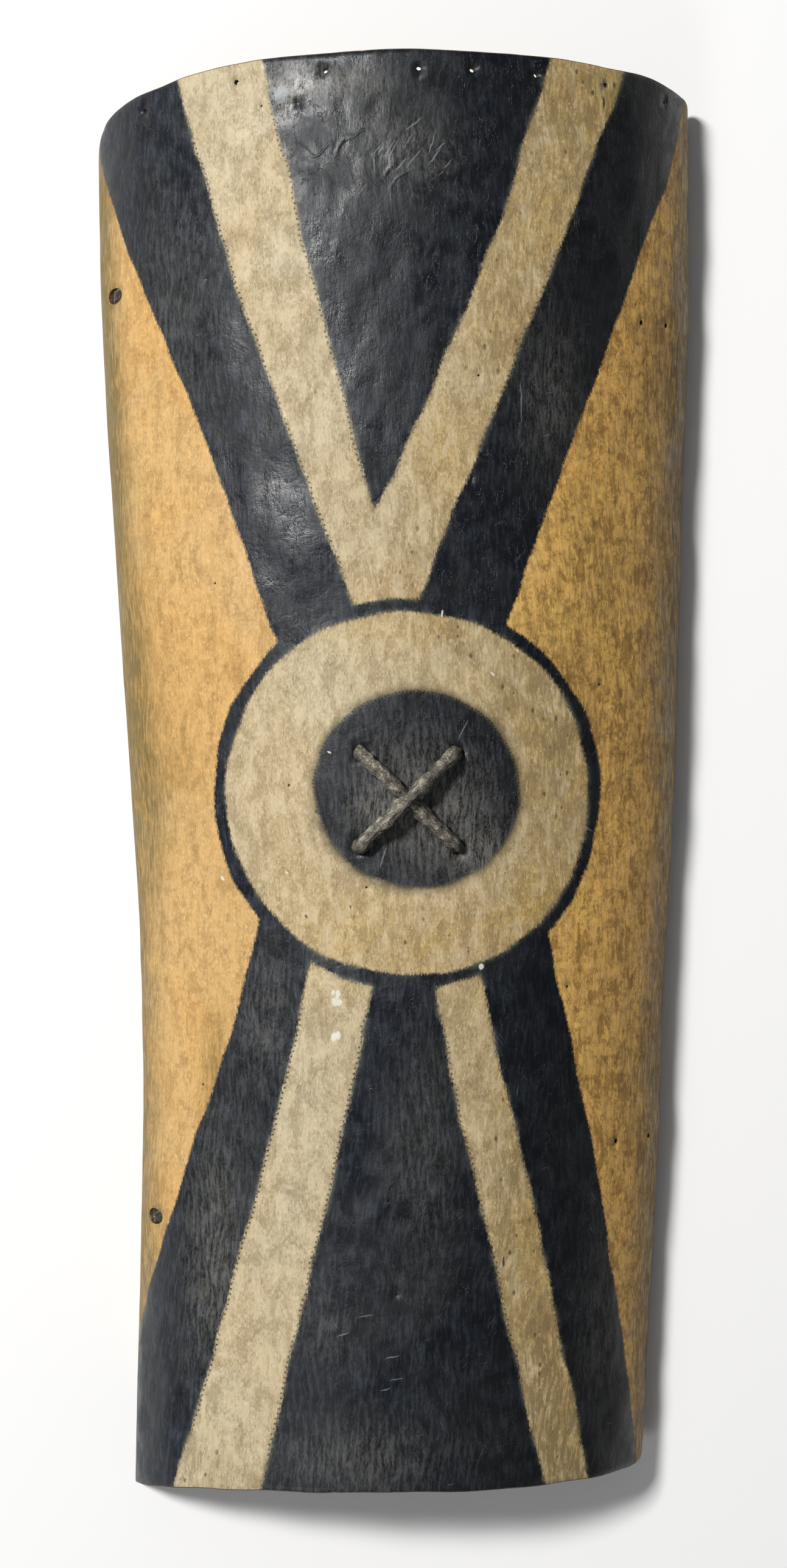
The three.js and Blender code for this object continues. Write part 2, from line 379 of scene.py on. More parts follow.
# Which borders are pricked with dots: between two heights, how strongly
PRICKED_ROWS = (
    (UPPER_PALE_LEFT, 0.17, 0.56, 1.0),
    (WEDGE_LEFT, 0.25, 0.58, 0.9),
    (WEDGE_RIGHT, 0.25, 0.4, 0.4),
    (UPPER_PALE_RIGHT, 0.3, 0.46, 0.7),
    (LOWER_PALE_LEFT[0], -0.56, -0.17, 1.0),
    (LOWER_PALE_LEFT[1], -0.57, -0.17, 0.9),
    (LOWER_PALE_RIGHT[0], -0.5, -0.19, 0.8),
    (LOWER_PALE_RIGHT[1], -0.5, -0.24, 0.5),
    (LOWER_OUTER_RIGHT, -0.5, -0.15, 0.6),
)
# Soft spots, each as (round from the crown, height, half width, half height, strength)
SOILED = (
    (-0.3, 0.5, 0.03, 0.12, 0.7),
    (-0.285, 0.3, 0.028, 0.1, 0.7),
    (-0.255, 0.1, 0.028, 0.1, 0.8),
    (-0.24, -0.02, 0.02, 0.07, 0.6),
    (-0.205, 0.02, 0.03, 0.05, 0.35),
    (-0.168, -0.24, 0.014, 0.05, 0.75),
    (-0.235, -0.4, 0.02, 0.06, 0.3),
    (0.27, 0.36, 0.05, 0.13, 0.45),
    (0.25, 0.1, 0.05, 0.1, 0.35),
    (0.17, 0.2, 0.03, 0.06, 0.4),
    (0.22, -0.25, 0.03, 0.06, 0.35),
    (0.16, 0.57, 0.045, 0.045, 0.65),
    (0.1, 0.4, 0.035, 0.08, 0.5),
    (0.03, 0.2, 0.03, 0.03, 0.45),
    (-0.05, 0.33, 0.03, 0.05, 0.15),
    (0.13, 0.06, 0.05, 0.08, 0.6),
    (0.05, 0.13, 0.03, 0.02, 0.6),
    (0.02, -0.13, 0.1, 0.03, 0.3),
    (0.095, -0.33, 0.025, 0.09, 0.6),
    (0.13, -0.47, 0.03, 0.06, 0.95),
    (0.155, -0.56, 0.035, 0.05, 1.0),
    (-0.15, -0.58, 0.04, 0.03, 0.35),
)
YELLOWED = (
    (0.03, -0.12, 0.13, 0.05, 1.0),
    (0.12, -0.03, 0.04, 0.12, 0.7),
    (0.02, 0.15, 0.09, 0.04, 0.8),
    (0.04, 0.28, 0.04, 0.08, 0.7),
    (0.12, -0.4, 0.05, 0.16, 0.9),
    (-0.1, -0.02, 0.05, 0.1, 0.35),
    (-0.13, 0.45, 0.02, 0.1, 0.2),
)
WORN = (
    (0.012, -0.007, 0.055, 0.05, 1.0),
    (0.065, -0.055, 0.03, 0.03, 0.8),
    (-0.02, -0.015, 0.02, 0.012, 0.5),
    (-0.065, 0.585, 0.045, 0.012, 1.5),
    (-0.095, 0.575, 0.008, 0.01, 2.6),
    (-0.09, 0.53, 0.004, 0.008, 2.4),
    (0.004, 0.53, 0.04, 0.03, 0.5),
    (-0.2, 0.38, 0.05, 0.12, 0.3),
    (0.13, 0.33, 0.03, 0.06, 0.4),
    (-0.165, -0.39, 0.03, 0.1, 0.7),
    (-0.12, -0.19, 0.03, 0.06, 0.45),
    (0.02, -0.3, 0.03, 0.12, 0.25),
    (-0.06, -0.45, 0.03, 0.03, 0.3),
    (-0.03, -0.56, 0.07, 0.03, 0.45),
    (0.19, -0.45, 0.03, 0.08, 0.2),
)
CREASED = (
    (-0.045, 0.54, 0.05, 0.03, 1.0),
    (0.02, 0.515, 0.045, 0.028, 0.9),
    (0.09, -0.4, 0.02, 0.03, 0.5),
    (-0.15, 0.44, 0.03, 0.04, 0.3),
)


def strokes(seed, count, centre, spread, length, turn, half_width):
    """Short strokes scattered round a centre, each as its two ends and a half width. The turn
    is the way they run, from level."""
    draw = np.random.default_rng(seed)
    marks = []
    for _ in range(count):
        middle = np.array(centre) + np.array(spread) * draw.uniform(-1, 1, 2)
        way = turn + 0.2 * draw.standard_normal()
        reach = 0.5 * length * draw.uniform(0.4, 1) * np.array((np.cos(way), np.sin(way)))
        ends = ((middle - reach).tolist(), (middle + reach).tolist())
        marks.append((*ends, half_width * draw.uniform(0.7, 1.3)))
    return marks


# Marks in the paint, each from one point to another with a half width: patches and single ones
PALE_SCRATCHES = [
    *strokes(71, 12, (0.015, 0.53), (0.03, 0.022), 0.024, 1.05, 0.0007),
    *strokes(72, 5, (-0.03, -0.46), (0.035, 0.04), 0.02, 0.2, 0.0006),
    ((0.055, 0.06), (0.045, 0.04), 0.0007),
    ((-0.015, -0.045), (-0.02, -0.065), 0.0008),
    ((0.135, -0.02), (0.17, -0.035), 0.0012),
    ((0.095, -0.035), (0.1, -0.055), 0.002),
    ((0.105, 0.345), (0.105, 0.305), 0.0008),
]
DARK_MARKS = [
    *strokes(73, 3, (-0.045, 0.55), (0.01, 0.01), 0.014, 0.9, 0.001),
    *strokes(74, 4, (-0.085, -0.06), (0.05, 0.045), 0.004, -0.9, 0.001),
    ((0.05, 0.52), (0.02, 0.5), 0.001),
    ((-0.015, 0.5), (-0.005, 0.455), 0.0007),
    ((-0.02, 0.41), (0, 0.41), 0.0006),
    ((0.01, 0.16), (0.01, 0.15), 0.001),
    ((0.09, -0.39), (0.09, -0.4), 0.0013),
    ((0.185, 0.585), (0.185, 0.575), 0.0014),
    ((0.065, 0.605), (0.065, 0.595), 0.0016),
]
CHALK_DABS = [
    *strokes(75, 7, (-0.057, -0.19), (0.003, 0.022), 0.003, 1.5, 0.0027),
    *strokes(76, 5, (0, 0.02), (0.16, 0.1), 0.003, -0.8, 0.0013),
    ((0.065, -0.145), (0.065, -0.147), 0.0024),
    ((0.035, 0.15), (0.035, 0.145), 0.0012),
]


def past_border(border, around, y):
    """Signed distance to the right of a border: the sideways distance from its curve, times
    the cosine of the curve's slope."""
    start, by_ring, end, by_rim, bow = border
    t = (y - start) / (end - start)
    held = np.clip(t, 0, 1)
    place = by_ring + (by_rim - by_ring) * t + 4 * bow * held * (1 - held)
    slope = (by_rim - by_ring + 4 * bow * (1 - 2 * held)) / (end - start)
    return (around - place) / np.sqrt(1 + slope**2)


def inside_oval(oval, around, y):
    """Signed distance inside an oval, about true near its outline."""
    centre, height, half_width, half_height = oval
    share = np.hypot((around - centre) / half_width, (y - height) / half_height)
    return (1 - share) * half_height


def painted_fields(around, y):
    """The design as distances inside each painted area, with the run along its borders.

    Between two borders the distance is the lesser of the distances from them, areas join by
    the greater and are cut by the lesser. The ring cuts the bands, and the disc cuts the ring.
    """
    def between(left, right):
        """The distance inside the area between two borders."""
        return np.minimum(past_border(left, around, y), -past_border(right, around, y))

    outside_ring = -inside_oval(RING_OUTSIDE, around, y)
    wedge = between(WEDGE_LEFT, WEDGE_RIGHT)
    upper = np.minimum(between(UPPER_PALE_LEFT, UPPER_PALE_RIGHT), -wedge)
    upper = np.minimum(upper, y)
    lower = np.maximum(between(*LOWER_PALE_LEFT), between(*LOWER_PALE_RIGHT))
    lower = np.minimum(lower, -y)
    bands = np.minimum(np.maximum(upper, lower), outside_ring)
    pale = np.maximum(bands, inside_oval(RING_INSIDE, around, y))

    upper_figure = np.minimum(between(UPPER_OUTER_LEFT, UPPER_OUTER_RIGHT), y)
    lower_figure = np.minimum(between(LOWER_OUTER_LEFT, LOWER_OUTER_RIGHT), -y)
    figure = np.maximum(np.maximum(upper_figure, lower_figure), -outside_ring)
    disc = inside_oval(DISC, around, y)

    # rows of pricked dots follow most borders of the bands and the rim of the disc
    pricked = np.zeros_like(y)
    for border, low, high, strength in PRICKED_ROWS:
        near = np.exp(-((past_border(border, around, y) / 0.008) ** 2))
        ends = np.clip((y - low) / 0.02, 0, 1) * np.clip((high - y) / 0.02, 0, 1)
        pricked = np.maximum(pricked, strength * near * ends)
    by_disc = np.abs(disc) < 0.03
    centre, height, half_width, half_height = DISC
    turn = np.arctan2((y - height) / half_height, (around - centre) / half_width)
    run = np.where(by_disc, turn * half_height, y * 1.06)
    pricked = np.where(by_disc, np.clip(0.75 + 0.5 * np.sin(turn - 0.2), 0.2, 1), pricked)
    return {
        "pale": pale,
        "side": -figure,
        "disc": disc,
        "run": run,
        "pricked": pricked,
        "soiled": spots(SOILED, around, y),
        "worn": spots(WORN, around, y),
        "yellowed": spots(YELLOWED, around, y),
        "creased": spots(CREASED, around, y),
    }


def spots(table, around, y):
    """Soft spots added up: for each, a bell curve of its width and height times its strength."""
    total = np.zeros_like(y)
    for centre, height, half_width, half_height, strength in table:
        far = ((around - centre) / half_width) ** 2 + ((y - height) / half_height) ** 2
        total += strength * np.exp(-far)
    return total


# ---------------------------------------------------------------------------- making meshes


def mesh_piece(name, points, faces, materials, uv=None, fields=None, kinds=None, smooth=None):
    """A piece from arrays: points, four-cornered faces, for each point a place on the
    unrolled surface and named values, and for each face its material and smoothness."""
    mesh = bpy.data.meshes.new(name)
    mesh.vertices.add(len(points))
    mesh.vertices.foreach_set("co", np.asarray(points, np.float32).ravel())
    faces = np.asarray(faces, np.int32)
    mesh.loops.add(faces.size)
    mesh.loops.foreach_set("vertex_index", faces.ravel())
    mesh.polygons.add(len(faces))
    mesh.polygons.foreach_set("loop_start", np.arange(0, faces.size, 4, dtype=np.int32))
    if kinds is not None:
        mesh.polygons.foreach_set("material_index", np.asarray(kinds, np.int32))
    mesh.polygons.foreach_set("use_smooth", np.ones(len(faces), bool) if smooth is None else smooth)
    mesh.update(calc_edges=True)
    if uv is not None:
        layer = mesh.uv_layers.new(name="unrolled")
        layer.uv.foreach_set("vector", np.asarray(uv, np.float32)[faces.ravel()].ravel())
    for field, values in (fields or {}).items():
        attribute = mesh.attributes.new(field, "FLOAT", "POINT")
        attribute.data.foreach_set("value", np.asarray(values, np.float32).ravel())
    mesh.validate()
    for material in materials:
        mesh.materials.append(material)
    piece = bpy.data.objects.new(name, mesh)
    bpy.context.scene.collection.objects.link(piece)
    return piece


def grid_faces(rows, columns, start=0, wrap=False):
    """Corner numbers of the faces of a grid of points, rows by columns. With wrap, the last
    column joins the first."""
    across = columns if wrap else columns - 1
    row, column = np.meshgrid(np.arange(rows - 1), np.arange(across), indexing="ij")
    beside = (column + 1) % columns
    corners = (row * columns + column, row * columns + beside,
               (row + 1) * columns + beside, (row + 1) * columns + column)
    return start + np.stack(corners, -1).reshape(-1, 4)


def place_piece(piece, slot, *nodes):
    """The piece moves with the shield and stands for CAD nodes. The slot is not used."""
    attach(piece, "root")
    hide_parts(*nodes)


# ------------------------------------------------------------------------------- node tools


class Graph:
    """Adds nodes to a tree. A value is a number, a tuple, or another node's output."""

    def __init__(self, tree):
        self.tree = tree

    def feed(self, socket, value):
        """Links an output to a socket, or sets the socket's own value."""
        if isinstance(value, bpy.types.NodeSocket):
            self.tree.links.new(value, socket)
        elif hasattr(socket.default_value, "__len__") and len(socket.default_value) == 4:
            socket.default_value = (*value, 1.0) if len(value) == 3 else value
        else:
            socket.default_value = value

    def add(self, kind, values=None, **settings):
        """A new node with its settings and the values of its sockets."""
        node = self.tree.nodes.new(kind)
        for name, setting in settings.items():
            setattr(node, name, setting)
        for socket, value in (values or {}).items():
            self.feed(node.inputs[socket], value)
        return node

    def math(self, operation, *values, clamp=False):
        """The output of a Math node."""
        return self.add(
            "ShaderNodeMath", dict(enumerate(values)), operation=operation, use_clamp=clamp
        ).outputs[0]

    def times(self, first, second, clamp=False):
        """The product of two values."""
        return self.math("MULTIPLY", first, second, clamp=clamp)

    def plus(self, first, second):
        """The sum of two values."""
        return self.math("ADD", first, second)

    def less(self, first, second):
        """The first value less the second."""
        return self.math("SUBTRACT", first, second)

    def times_plus(self, first, second, third):
        """The product of the first two values, and the third added."""
        return self.math("MULTIPLY_ADD", first, second, third)

    def mix(self, factor, first, second):
        """A mix of two colours."""
        values = {0: factor, 6: first, 7: second}
        return self.add("ShaderNodeMix", values, data_type="RGBA").outputs[2]

    def span(self, value, low, high, to_low=0.0, to_high=1.0, smooth=True):
        """The value carried from one range to another, held at the ends."""
        values = {"Value": value, "From Min": low, "From Max": high, "To Min": to_low,
                  "To Max": to_high}
        kind = "SMOOTHSTEP" if smooth else "LINEAR"
        return self.add("ShaderNodeMapRange", values, interpolation_type=kind).outputs[0]

    def scaled(self, vector, scale):
        """A vector scaled along its axes."""
        return self.add("ShaderNodeMapping", {"Vector": vector, "Scale": scale}).outputs[0]

    def noise(self, vector, scale, detail=3.0, roughness=0.55, distortion=0.0):
        """The height of a noise pattern, about 0.3 to 0.7."""
        values = {"Vector": vector, "Scale": scale, "Detail": detail, "Roughness": roughness,
                  "Distortion": distortion}
        return self.add("ShaderNodeTexNoise", values).outputs[0]

    def group(self, tree, values):
        """A node group with its values; its outputs are read by name."""
        return self.add("ShaderNodeGroup", values, node_tree=tree).outputs

    def unrolled(self):
        """The place on the piece's unrolled surface."""
        return self.add("ShaderNodeUVMap", uv_map="unrolled").outputs[0]

    def field(self, name):
        """A named value of the mesh."""
        return self.add("ShaderNodeAttribute", attribute_name=name).outputs["Fac"]


def new_group(name, inputs, outputs):
    """An empty shader group. Inputs give each name its starting number, or None for a vector,
    and outputs are names."""
    tree = bpy.data.node_groups.new(name, "ShaderNodeTree")
    for label, start in inputs.items():
        kind = "NodeSocketVector" if start is None else "NodeSocketFloat"
        socket = tree.interface.new_socket(label, in_out="INPUT", socket_type=kind)
        if start is not None:
            socket.default_value = start
    for label in outputs:
        tree.interface.new_socket(label, in_out="OUTPUT", socket_type="NodeSocketFloat")
    graph = Graph(tree)
    source = graph.add("NodeGroupInput").outputs
    sink = graph.add("NodeGroupOutput").inputs
    return tree, graph, source, sink


def brushed_edge_group():
    """A painted area's mask from the distance inside it: the edge wanders slowly, frays with
    the fibres of the hide and fades over a feather."""
    inputs = {"Distance": 0.0, "Slow": 0.5, "Fibre": 0.5, "Wander": 0.0, "Fray": 0.004,
              "Feather": 0.001}
    tree, graph, source, sink = new_group("Brushed edge", inputs, ("Mask",))
    slow = graph.times(graph.less(source["Slow"], 0.5), source["Wander"])
    fray = graph.times(graph.less(source["Fibre"], 0.5), source["Fray"])
    reach = graph.plus(source["Distance"], graph.plus(slow, fray))
    low = graph.times(source["Feather"], -1.0)
    graph.feed(sink["Mask"], graph.span(reach, low, source["Feather"]))
    return tree


def mark_group():
    """One narrow oval mark: the distance from its centre, turned and divided by its half
    width and half length, faded near one."""
    inputs = {"Vector": None, "Centre": None, "Size": None, "Turn": None}
    tree, graph, source, sink = new_group("Oval mark", inputs, ("Mask",))
    values = {"Vector": source["Vector"], "Location": source["Centre"], "Rotation": source["Turn"],
              "Scale": source["Size"]}
    local = graph.add("ShaderNodeMapping", values, vector_type="TEXTURE").outputs[0]
    far = graph.add("ShaderNodeVectorMath", {0: local}, operation="LENGTH").outputs["Value"]
    graph.feed(sink["Mask"], graph.span(far, 1.0, 0.55))
    return tree


def fibre_group():
    """Streaks along the hide: noise drawn out lengthwise and gently bent, at two widths."""
    inputs = {"Vector": None, "Length": 0.02, "Width": 0.0032, "Bend": 0.5}
    tree, graph, source, sink = new_group("Hide fibres", inputs, ("Streak", "Fine"))
    sway = graph.noise(source["Vector"], 9.0, 3.0, 0.55)
    sway = graph.times(graph.less(sway, 0.5), 0.05)
    place = graph.add("ShaderNodeSeparateXYZ", {0: source["Vector"]}).outputs
    across = graph.times_plus(sway, source["Bend"], place[0])
    wide = graph.math("DIVIDE", across, source["Width"])
    long = graph.math("DIVIDE", place[1], source["Length"])
    coarse = graph.add("ShaderNodeCombineXYZ", {0: wide, 1: long, 2: 3.0}).outputs[0]
    fine = graph.add(
        "ShaderNodeCombineXYZ",
        {0: graph.times(wide, 2.2), 1: graph.times(long, 5.2), 2: 7.0},
    ).outputs[0]
    graph.feed(sink["Streak"], graph.noise(coarse, 1.0, 4.0, 0.66))
    graph.feed(sink["Fine"], graph.noise(fine, 1.0, 4.0, 0.7))
    return tree


def scratch_group():
    """Thin scratches in one direction: the peaks of noise drawn out along a turned axis, kept
    where the amount is high."""
    inputs = {"Vector": None, "Turn": 0.0, "Length": 0.03, "Width": 0.0008, "Amount": 0.5}
    tree, graph, source, sink = new_group("Scratches", inputs, ("Mask",))
    turned = graph.add("ShaderNodeVectorRotate", {"Vector": source["Vector"], "Angle": source["Turn"]},
                       rotation_type="Z_AXIS").outputs[0]
    place = graph.add("ShaderNodeSeparateXYZ", {0: turned}).outputs
    across = graph.math("DIVIDE", place[0], source["Width"])
    along = graph.math("DIVIDE", place[1], source["Length"])
    drawn = graph.add("ShaderNodeCombineXYZ", {0: across, 1: along, 2: source["Turn"]}).outputs[0]
    lines = graph.noise(drawn, 1.0, 1.0, 0.4)
    gate = graph.less(0.84, graph.times(source["Amount"], 0.3))
    graph.feed(sink["Mask"], graph.span(lines, gate, graph.plus(gate, 0.08)))
    return tree


def pricked_group():
    """A row of small dots along a border: inside a radius of points set at an even pitch
    along the run, at an offset from the border."""
    inputs = {"Distance": 0.0, "Run": 0.0, "Offset": -0.0012, "Pitch": 0.0036, "Radius": 0.0009,
              "Shift": 0.0}
    tree, graph, source, sink = new_group("Pricked row", inputs, ("Mask",))
    steps = graph.math("DIVIDE", graph.plus(source["Run"], source["Shift"]), source["Pitch"])
    within = graph.less(graph.math("FRACT", steps), 0.5)
    jitter = graph.add("ShaderNodeTexWhiteNoise", {"W": graph.math("FLOOR", steps)},
                       noise_dimensions="1D").outputs
    swing = graph.times(graph.less(jitter[0], 0.5), 0.0011)
    along = graph.times(within, source["Pitch"])
    off = graph.less(graph.less(source["Distance"], source["Offset"]), swing)
    far = graph.math("SQRT", graph.plus(graph.math("POWER", graph.math("ABSOLUTE", along), 2.0),
                                        graph.math("POWER", graph.math("ABSOLUTE", off), 2.0)))
    inner = graph.times(source["Radius"], 0.6)
    graph.feed(sink["Mask"], graph.span(far, inner, source["Radius"], 1.0, 0.0))
    return tree


def speck_group():
    """Small round specks of mixed size: the middles of a cell pattern, kept by chance."""
    inputs = {"Vector": None, "Scale": 160.0, "Size": 0.25, "Amount": 0.5}
    tree, graph, source, sink = new_group("Specks", inputs, ("Mask",))
    cells = graph.add("ShaderNodeTexVoronoi", {"Vector": source["Vector"], "Scale": source["Scale"]})
    chance = graph.add("ShaderNodeSeparateColor", {0: cells.outputs["Color"]}).outputs
    size = graph.times(source["Size"], graph.plus(0.4, chance[1]))
    dots = graph.span(cells.outputs["Distance"], graph.times(size, 0.4), size, 1.0, 0.0)
    kept = graph.math("LESS_THAN", chance[0], source["Amount"])
    graph.feed(sink["Mask"], graph.times(dots, kept))
    return tree


EFFECTS = {
    "edge": brushed_edge_group,
    "mark": mark_group,
    "fibre": fibre_group,
    "scratch": scratch_group,
    "pricked": pricked_group,
    "speck": speck_group,
}
effect_trees = {}


def effect(name):
    """A shared effect, built the first time that a material asks for it."""
    if name not in effect_trees:
        effect_trees[name] = EFFECTS[name]()
    return effect_trees[name]


def new_material(name, **constants):
    """A material with a Principled shader, its constants set on the shader itself."""
    material = bpy.data.materials.new(name)
    material.use_nodes = True
    graph = Graph(material.node_tree)
    shader = material.node_tree.nodes["Principled BSDF"]
    for socket, value in constants.items():
        shader.inputs[socket.replace("_", " ")].default_value = value
    return material, graph, shader


# -------------------------------------------------------------------------------- materials


def finish(graph, shader, shade, rough, height, strength, distance):
    """Feeds a shader its colour, its roughness and a bump."""
    graph.feed(shader.inputs["Base Color"], shade)
    graph.feed(shader.inputs["Roughness"], rough)
    bump = graph.add("ShaderNodeBump", {"Height": height, "Strength": strength, "Distance": distance})
    graph.feed(shader.inputs["Normal"], bump.outputs[0])


def marks_mask(graph, place, table):
    """The greatest of the oval marks of a table."""
    total = None
    for start, stop, half_width in table:
        start, stop = np.array(start), np.array(stop)
        ahead = stop - start
        values = {
            "Vector": place,
            "Centre": (*((start + stop) / 2), 0.0),
            "Size": (half_width, float(np.linalg.norm(ahead)) / 2 + half_width, 1.0),
            "Turn": (0.0, 0.0, float(np.arctan2(-ahead[0], ahead[1]))),
        }
        mask = graph.group(effect("mark"), values)["Mask"]
        total = mask if total is None else graph.math("MAXIMUM", total, mask)
    return total


def painted_hide():
    """The painted face: three paints with brushed edges over fibrous hide, with scratches,
    pricked rows, dabs of chalk, creases, specks, grime and painted shade."""
    paint = bpy.context.scene.shield_paint
    material, graph, shader = new_material("painted_hide", Specular_IOR_Level=0.32)
    place = graph.unrolled()
    spot = graph.add("ShaderNodeSeparateXYZ", {0: place}).outputs
    fibres = graph.group(effect("fibre"), {"Vector": place})
    streak, fine = fibres["Streak"], fibres["Fine"]
    blotch = graph.noise(place, 8.0, 4.0, 0.6, 0.6)
    clouds = graph.add("ShaderNodeTexNoise", {"Vector": place, "Scale": 42.0, "Detail": 5.0,
                                              "Roughness": 0.68, "Distortion": 0.4}).outputs
    cloud = clouds[0]
    # rightward grows from the left of the face to the right; the paints darken with it, as painted shade on
    # the black and partly as painted shade on the pale and ochre
    rightward = graph.span(spot[0], -0.1, 0.24)
    soiled, worn = graph.field("soiled"), graph.field("worn")
    nudge = graph.add("ShaderNodeVectorMath", {0: clouds[1], 1: (0.5, 0.5, 0.5)},
                      operation="SUBTRACT").outputs[0]
    nudge = graph.add("ShaderNodeVectorMath", {0: nudge, "Scale": 0.006}, operation="SCALE").outputs[0]
    bent = graph.add("ShaderNodeVectorMath", {0: place, 1: nudge}, operation="ADD").outputs[0]

    # black ground: bluish to warm, with lighter and darker strokes, greyer where it is worn, and darkened
    # towards the right as painted shade
    black = graph.mix(graph.span(blotch, 0.42, 0.58), paint.black, srgb(20, 23, 27))
    black = graph.mix(graph.span(cloud, 0.42, 0.6, 0.0, 0.35), black, srgb(30, 37, 45))
    light_fibre = graph.times(graph.span(streak, 0.46, 0.62), graph.span(cloud, 0.36, 0.6, 0.5, 1.0))
    black = graph.mix(graph.times(light_fibre, 0.34), black, srgb(70, 78, 90))
    # painted shade: the black is darkened towards the right, the side turned away from the key lamp
    black = graph.mix(graph.times(rightward, 0.8), black, srgb(8, 9, 10))
    black = graph.mix(graph.span(fine, 0.5, 0.38, 0.0, 0.4), black, srgb(9, 11, 15))
    thin = graph.times(worn, graph.plus(graph.span(streak, 0.4, 0.62),
                                                   graph.span(fine, 0.42, 0.62, 0.0, 0.7)))
    black = graph.mix(graph.times(thin, 0.62, clamp=True), black, paint.black_worn)
    patchy = graph.plus(graph.times(cloud, 3.0), graph.times(fine, 2.0))
    bared = graph.span(graph.plus(graph.math("MINIMUM", worn, 2.2), patchy), 4.1, 5.0)
    black = graph.mix(bared, black, srgb(152, 154, 154))

    # pale paint: cream and tan mottle, grime, brown specks, and darker towards the right, partly grime and
    # partly painted shade
    patch = graph.span(cloud, 0.4, 0.6)
    pale = graph.mix(graph.math("MAXIMUM", rightward, graph.field("yellowed")), paint.pale,
                     srgb(186, 154, 82))
    pale = graph.mix(graph.span(blotch, 0.42, 0.58, 0.0, 0.6), pale, srgb(186, 165, 128))
    grit = graph.noise(place, 120.0, 5.0, 0.72)
    grain = graph.times_plus(graph.span(streak, 0.46, 0.62), 0.3, graph.span(grit, 0.46, 0.6))
    tan = graph.times(grain, graph.times_plus(rightward, 0.3, 0.26), clamp=True)
    pale = graph.mix(tan, pale, srgb(138, 116, 74))
    pale = graph.mix(graph.span(fine, 0.52, 0.64, 0.0, 0.7), pale, srgb(210, 200, 174))
    dark_flecks = graph.times(graph.span(fine, 0.47, 0.36), graph.times_plus(patch, 0.5, 0.4))
    pale = graph.mix(graph.times(dark_flecks, 0.7), pale, srgb(122, 100, 64))
    flake = graph.noise(graph.scaled(place, (75, 34, 1)), 1.0, 5.0, 0.72, 0.5)
    lost = graph.span(flake, 0.545, 0.575)
    pale = graph.mix(graph.times(lost, graph.times_plus(soiled, 0.5, 0.3), clamp=True),
                     pale, srgb(120, 100, 66))
    pale = graph.mix(graph.span(flake, 0.47, 0.43, 0.0, 0.5), pale, srgb(206, 190, 156))
    dirt = graph.times_plus(graph.span(cloud, 0.42, 0.62), 0.55, graph.span(streak, 0.4, 0.6))
    # grime and painted shade: the soiled spots, and a darkening that grows towards the right
    grime_and_shade = graph.times(graph.plus(soiled, graph.times_plus(rightward, 0.4, 0.15)), dirt)
    pale = graph.mix(graph.times(grime_and_shade, 0.66, clamp=True), pale, paint.pale_soiled)
    specks = graph.group(effect("speck"), {"Vector": graph.scaled(place, (1, 0.6, 1)), "Scale": 190.0,
                                           "Size": 0.3, "Amount": 0.22})["Mask"]
    pits = graph.times(specks, graph.span(graph.plus(cloud, soiled), 0.5, 0.8))
    pale = graph.mix(graph.times(pits, 0.85), pale, srgb(84, 66, 40))

    # ochre sides: peach to yellow, brown mottle, olive grime and painted shade by the long edges, and darker
    # towards the right, partly grime and partly painted shade
    ochre = graph.mix(rightward, paint.ochre, srgb(228, 180, 90))
    ochre = graph.mix(graph.span(blotch, 0.42, 0.58, 0.0, 0.5), ochre, srgb(208, 158, 86))
    mottle = graph.times_plus(rightward, 0.4, 0.28)
    brown = graph.times(grain, graph.times_plus(patch, 0.15, mottle))
    ochre = graph.mix(brown, ochre, srgb(154, 114, 56))
    ochre = graph.mix(graph.span(fine, 0.52, 0.64, 0.0, 0.7), ochre, srgb(232, 194, 132))
    ochre = graph.mix(graph.times(dark_flecks, mottle), ochre, srgb(136, 98, 48))
    ochre = graph.mix(graph.times(lost, mottle), ochre, srgb(140, 102, 50))
    ochre = graph.mix(graph.span(flake, 0.47, 0.43, 0.0, 0.35), ochre, srgb(220, 176, 114))
    # grime and painted shade: the ochre darkens near the long edges, where the face turns away from the
    # lamps, and takes a darker grime colour towards the right
    limb = graph.span(graph.times_plus(cloud, 0.09, graph.field("rim")), 0.135, 0.06)
    limb = graph.times(limb, graph.times_plus(rightward, -0.25, 1.2))
    grime_and_shade = graph.times(graph.plus(soiled, limb), graph.span(streak, 0.36, 0.6, 0.6, 1.1))
    grime_and_shade = graph.times_plus(dirt, graph.times(mottle, 0.45), grime_and_shade)
    ochre = graph.mix(graph.times(grime_and_shade, 0.8, clamp=True), ochre,
                      graph.mix(rightward, paint.ochre_soiled, srgb(92, 74, 34)))

    # the three paints laid over one another
    slow = graph.noise(place, 16.0, 2.0)
    swing = graph.less(slow, 0.5)
    pale_reach = graph.times_plus(swing, 0.01, graph.field("pale"))
    disc_reach = graph.times_plus(swing, 0.008, graph.field("disc"))
    hem = {"Slow": slow, "Fibre": fine}
    side = graph.group(effect("edge"), {"Distance": graph.field("side"), "Feather": 0.0014,
                                        "Wander": 0.008, "Fray": 0.007, **hem})["Mask"]
    light = graph.group(effect("edge"), {"Distance": pale_reach, "Feather": 0.0017,
                                         "Fray": 0.008, **hem})["Mask"]
    disc = graph.group(effect("edge"), {"Distance": disc_reach, "Feather": 0.0026,
                                        "Fray": 0.008, **hem})["Mask"]
    lit = graph.times(light, graph.less(1.0, disc))
    # a brown halo lies round the disc, and a grey-green hem along the borders of the pale paint
    halo = graph.span(graph.field("disc"), -0.0095, 0.001)
    halo = graph.times(halo, graph.span(cloud, 0.3, 0.6, 0.3, 0.9))
    pale = graph.mix(halo, pale, srgb(88, 80, 56))
    hem_mask = graph.span(graph.math("ABSOLUTE", pale_reach), 0.0045, 0.001)
    hem_mask = graph.times(hem_mask, graph.span(cloud, 0.42, 0.6, 0.0, 0.4))
    black = graph.mix(hem_mask, black, srgb(96, 98, 86))
    pale = graph.mix(graph.times(hem_mask, 0.8), pale, srgb(128, 112, 78))
    shade = graph.mix(side, black, ochre)
    shade = graph.mix(lit, shade, pale)

